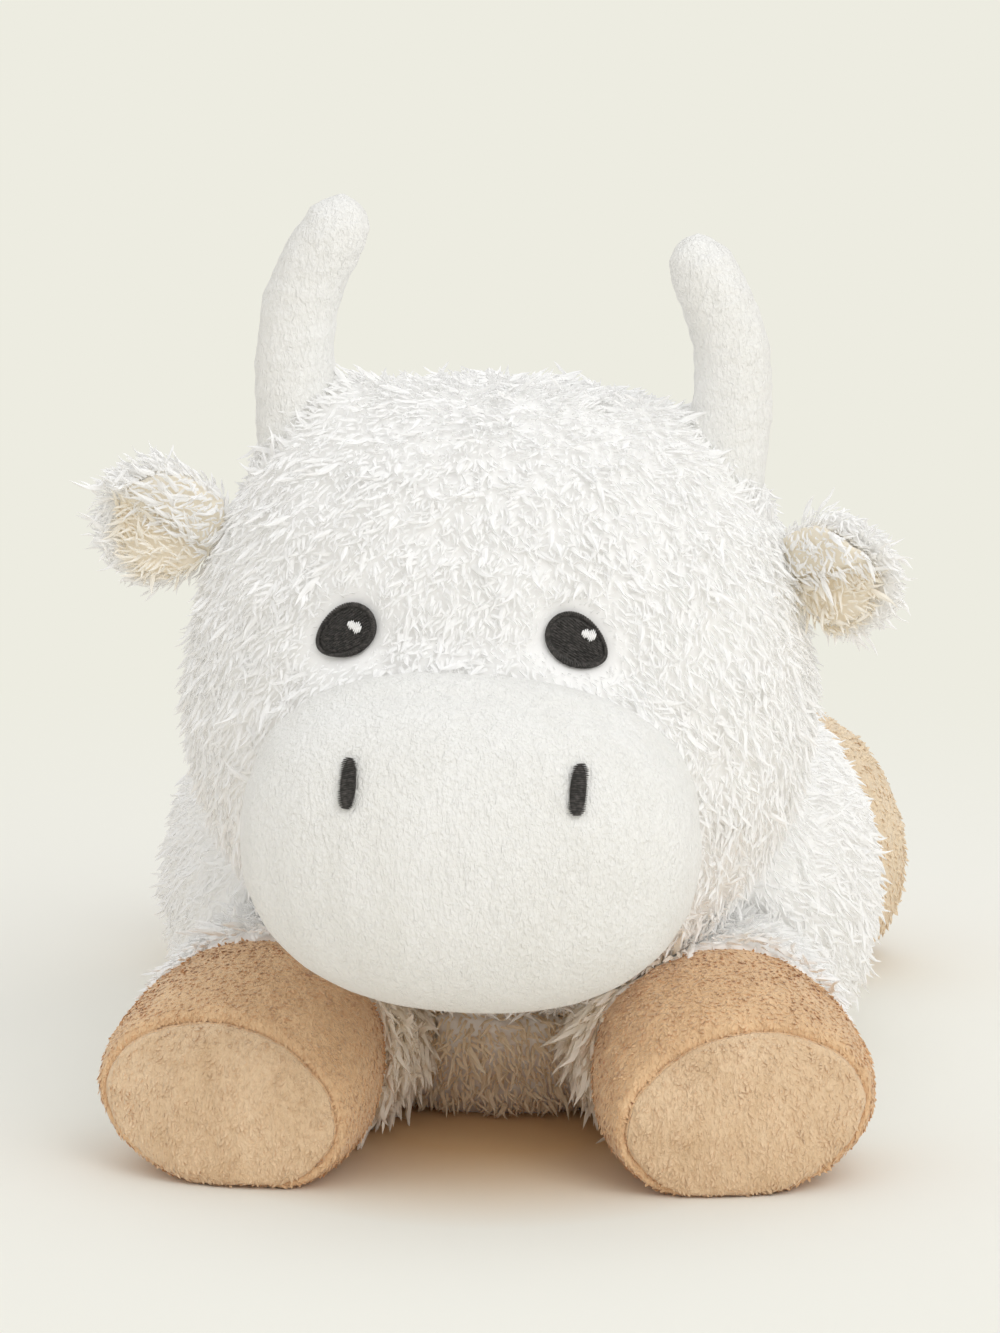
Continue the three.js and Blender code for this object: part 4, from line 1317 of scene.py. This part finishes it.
# %% Fleece of the body
BODY_FLEECE = {"front": fleece_layers(1.15), "back": fleece_layers(1.35)}
BELLY_EDGE = 3 * MM
DOWNWARD = -0.7
BODY_SPLIT = 25 * MM
CHEST_HALF_WIDTH = 60 * MM
CHEST_BACK = 0.0
CHEST_TOP = 60 * MM
BODY_PILE = (2 * MM, 0.8)
BODY_SIDEWAYS = 3
BODY_BACKWARD = 0.5
BODY_SEED = 20
CHEST_SEED = 25


def body_pile(point, normal):
    if normal.z < DOWNWARD and point.z < BELLY_EDGE:
        return 0.0
    neighbours = min(distance(tree, point) for tree in (head_tree, limb_tree, tail_tree))
    return grown_by(neighbours, *BODY_PILE)


def body_flow(point, normal):
    return Vector((point.x * BODY_SIDEWAYS, BODY_BACKWARD, -1))


def on_chest(point):
    return abs(point.x) < CHEST_HALF_WIDTH and point.y < CHEST_BACK and point.z < CHEST_TOP


for number, (quarter, keep) in enumerate(quarters(BODY_SPLIT)):
    def off_chest(point, keep=keep):
        return keep(point) and not on_chest(point)
    layers = BODY_FLEECE[quarter.split("_")[0]]
    sow(f"body_locks_{quarter}", body_skin, "body", body_pile, body_flow, layers,
        BODY_SEED + number, off_chest)
# The chest's locks wear a painted warm brown shade.
sow("chest_locks", body_skin, "body", body_pile, body_flow, BODY_FLEECE["front"], CHEST_SEED,
    on_chest, chest_fleece)

# %% Fleece of the legs
LEG_FLEECE = fleece_layers(1.15)
LEG_NESTED_DEPTH = 9 * MM
ANKLE_BARE = 0.8 * MM
INNER_WISPS = 0.35
LEG_PILE = 1.3
LEG_BY_HEAD = (3 * MM, 0.7)
LEG_DROOP = Vector((0, 0, -0.8))
LEG_SEED = 30
INNER_LEG_SEED = 34

for number, (limb, form) in enumerate(limb_forms.items()):
    ankle_middle, ankle_normal = limb_ends[limb]
    inward = -math.copysign(1, ankle_middle.x)
    in_front = limb.startswith("front")

    def leg_pile(point, normal, middle=ankle_middle, ahead=ankle_normal, inward=inward):
        if (point - middle).dot(ahead) > -ANKLE_BARE or depth_in_body(point) > LEG_NESTED_DEPTH:
            return 0.0
        if normal.z < DOWNWARD and point.z < BELLY_EDGE:
            return 0.0
        wisps = 1 + INNER_WISPS * max(0.0, normal.x * inward)
        return LEG_PILE * wisps * grown_by(distance(head_tree, point), *LEG_BY_HEAD)

    def leg_flow(point, normal, ahead=ankle_normal):
        return ahead + LEG_DROOP

    def beside_chest(point, middle=ankle_middle, inward=inward, in_front=in_front):
        return in_front and (point.x - middle.x) * inward > 0 and point.z < CHEST_TOP

    def elsewhere(point, beside=beside_chest):
        return not beside(point)

    sow(f"{limb}_leg_locks", form, f"{limb}_leg", leg_pile, leg_flow, LEG_FLEECE,
        LEG_SEED + number, elsewhere)
    if in_front:
        # The inner locks of the front legs wear a painted warm cream shade.
        sow(f"{limb}_leg_inner_locks", form, f"{limb}_leg", leg_pile, leg_flow, LEG_FLEECE,
            INNER_LEG_SEED + number, beside_chest, cream_fleece)
    bpy.data.objects.remove(form)

# %% Nap of the hooves
NAP_SPACING = {"front": 1.15 * MM, "hind": 1.7 * MM}
NAP_PILE = {"front": 1.0, "hind": 1.45}
SEAM_BARE = 0.5 * MM
NAP_AHEAD = 0.7
NAP_DROOP = Vector((0, 0, -0.7))
NAP_SEED = 60

for number, (limb, hoof) in enumerate(hooves.items()):
    pair = limb.split("_")[0]

    def nap_pile(point, normal, seams=hoof["seams"], full=NAP_PILE[pair]):
        off = min(abs((point - middle).dot(ahead)) for middle, ahead in seams)
        return full if off > SEAM_BARE else 0.0

    def nap_flow(point, normal, ahead=hoof["seams"][0][1]):
        return ahead * NAP_AHEAD + NAP_DROOP

    layers = ((nap, NAP_SPACING[pair]),)
    for count, part in enumerate(("upper", "sole")):
        skin, finish = hoof[part]
        sow(f"{limb}_hoof_{part}_nap", skin, f"{limb}_leg", nap_pile, nap_flow, layers,
            NAP_SEED + 2 * number + count, None, finish, "hoof_plush")

# %% Fleece of the ears
EAR_FLEECE = fleece_layers(0.95)
EAR_BACK_PILE = 1.0
EAR_FLAP_PILE = 0.95
EAR_LINING_PILE = 0.9
FLAP_EDGE = -2 * MM
EAR_SEAM_PILE = (1 * MM, 0.85)
EAR_DROOP = 0.5
EAR_SEED = 40

for number, (side, ways) in enumerate(ears.items()):
    out, up = ways["out"], ways["up"]
    back = ear_skins[side, "back"]
    front = ear_skins[side, "front"]
    middle = mean_point(front)

    def ear_flow(point, normal, out=out, up=up):
        return out - up * EAR_DROOP

    def under_flap(point, middle=middle, up=up):
        return (point - middle).dot(up) < FLAP_EDGE

    def over_flap(point, middle=middle, up=up):
        return (point - middle).dot(up) >= FLAP_EDGE

    # Under the fold the lining locks wear the painted beige shade.
    sheets = (("back", back, front, EAR_BACK_PILE, None, fleece),
              ("flap", front, back, EAR_FLAP_PILE, over_flap, fleece),
              ("lining", front, back, EAR_LINING_PILE, under_flap, ear_lining_painted_shade))
    for count, (part, skin, other, full, keep, finish) in enumerate(sheets):
        def ear_pile(point, normal, tree=tree_of(other), full=full):
            return full * grown_by(distance(tree, point), *EAR_SEAM_PILE)
        sow(f"ear_{side}_{part}_locks", skin, f"ear_{side}", ear_pile, ear_flow, EAR_FLEECE,
            EAR_SEED + len(sheets) * number + count, keep, finish)

# %% Fleece of the tail
TAIL_FLEECE = fleece_layers(1.0)
TAIL_PILE = 0.7
TUFT_PILE = 1.25
TAIL_WAY = Vector((0, 0.5, -1))
TAIL_SEED = 50
TUFT_SEED = 51


def tail_pile(point, normal):
    return TAIL_PILE


def tuft_pile(point, normal):
    return TUFT_PILE


def tail_flow(point, normal):
    return TAIL_WAY.copy()


sow("tail_locks", tail_skin, "tail", tail_pile, tail_flow, TAIL_FLEECE, TAIL_SEED)
sow("tail_tuft_locks", tuft_skin, "tail", tuft_pile, tail_flow, TAIL_FLEECE, TUFT_SEED)
for kinds in (locks, wool, nap):
    for lock in list(kinds.objects):
        bpy.data.objects.remove(lock)
    bpy.data.collections.remove(kinds)
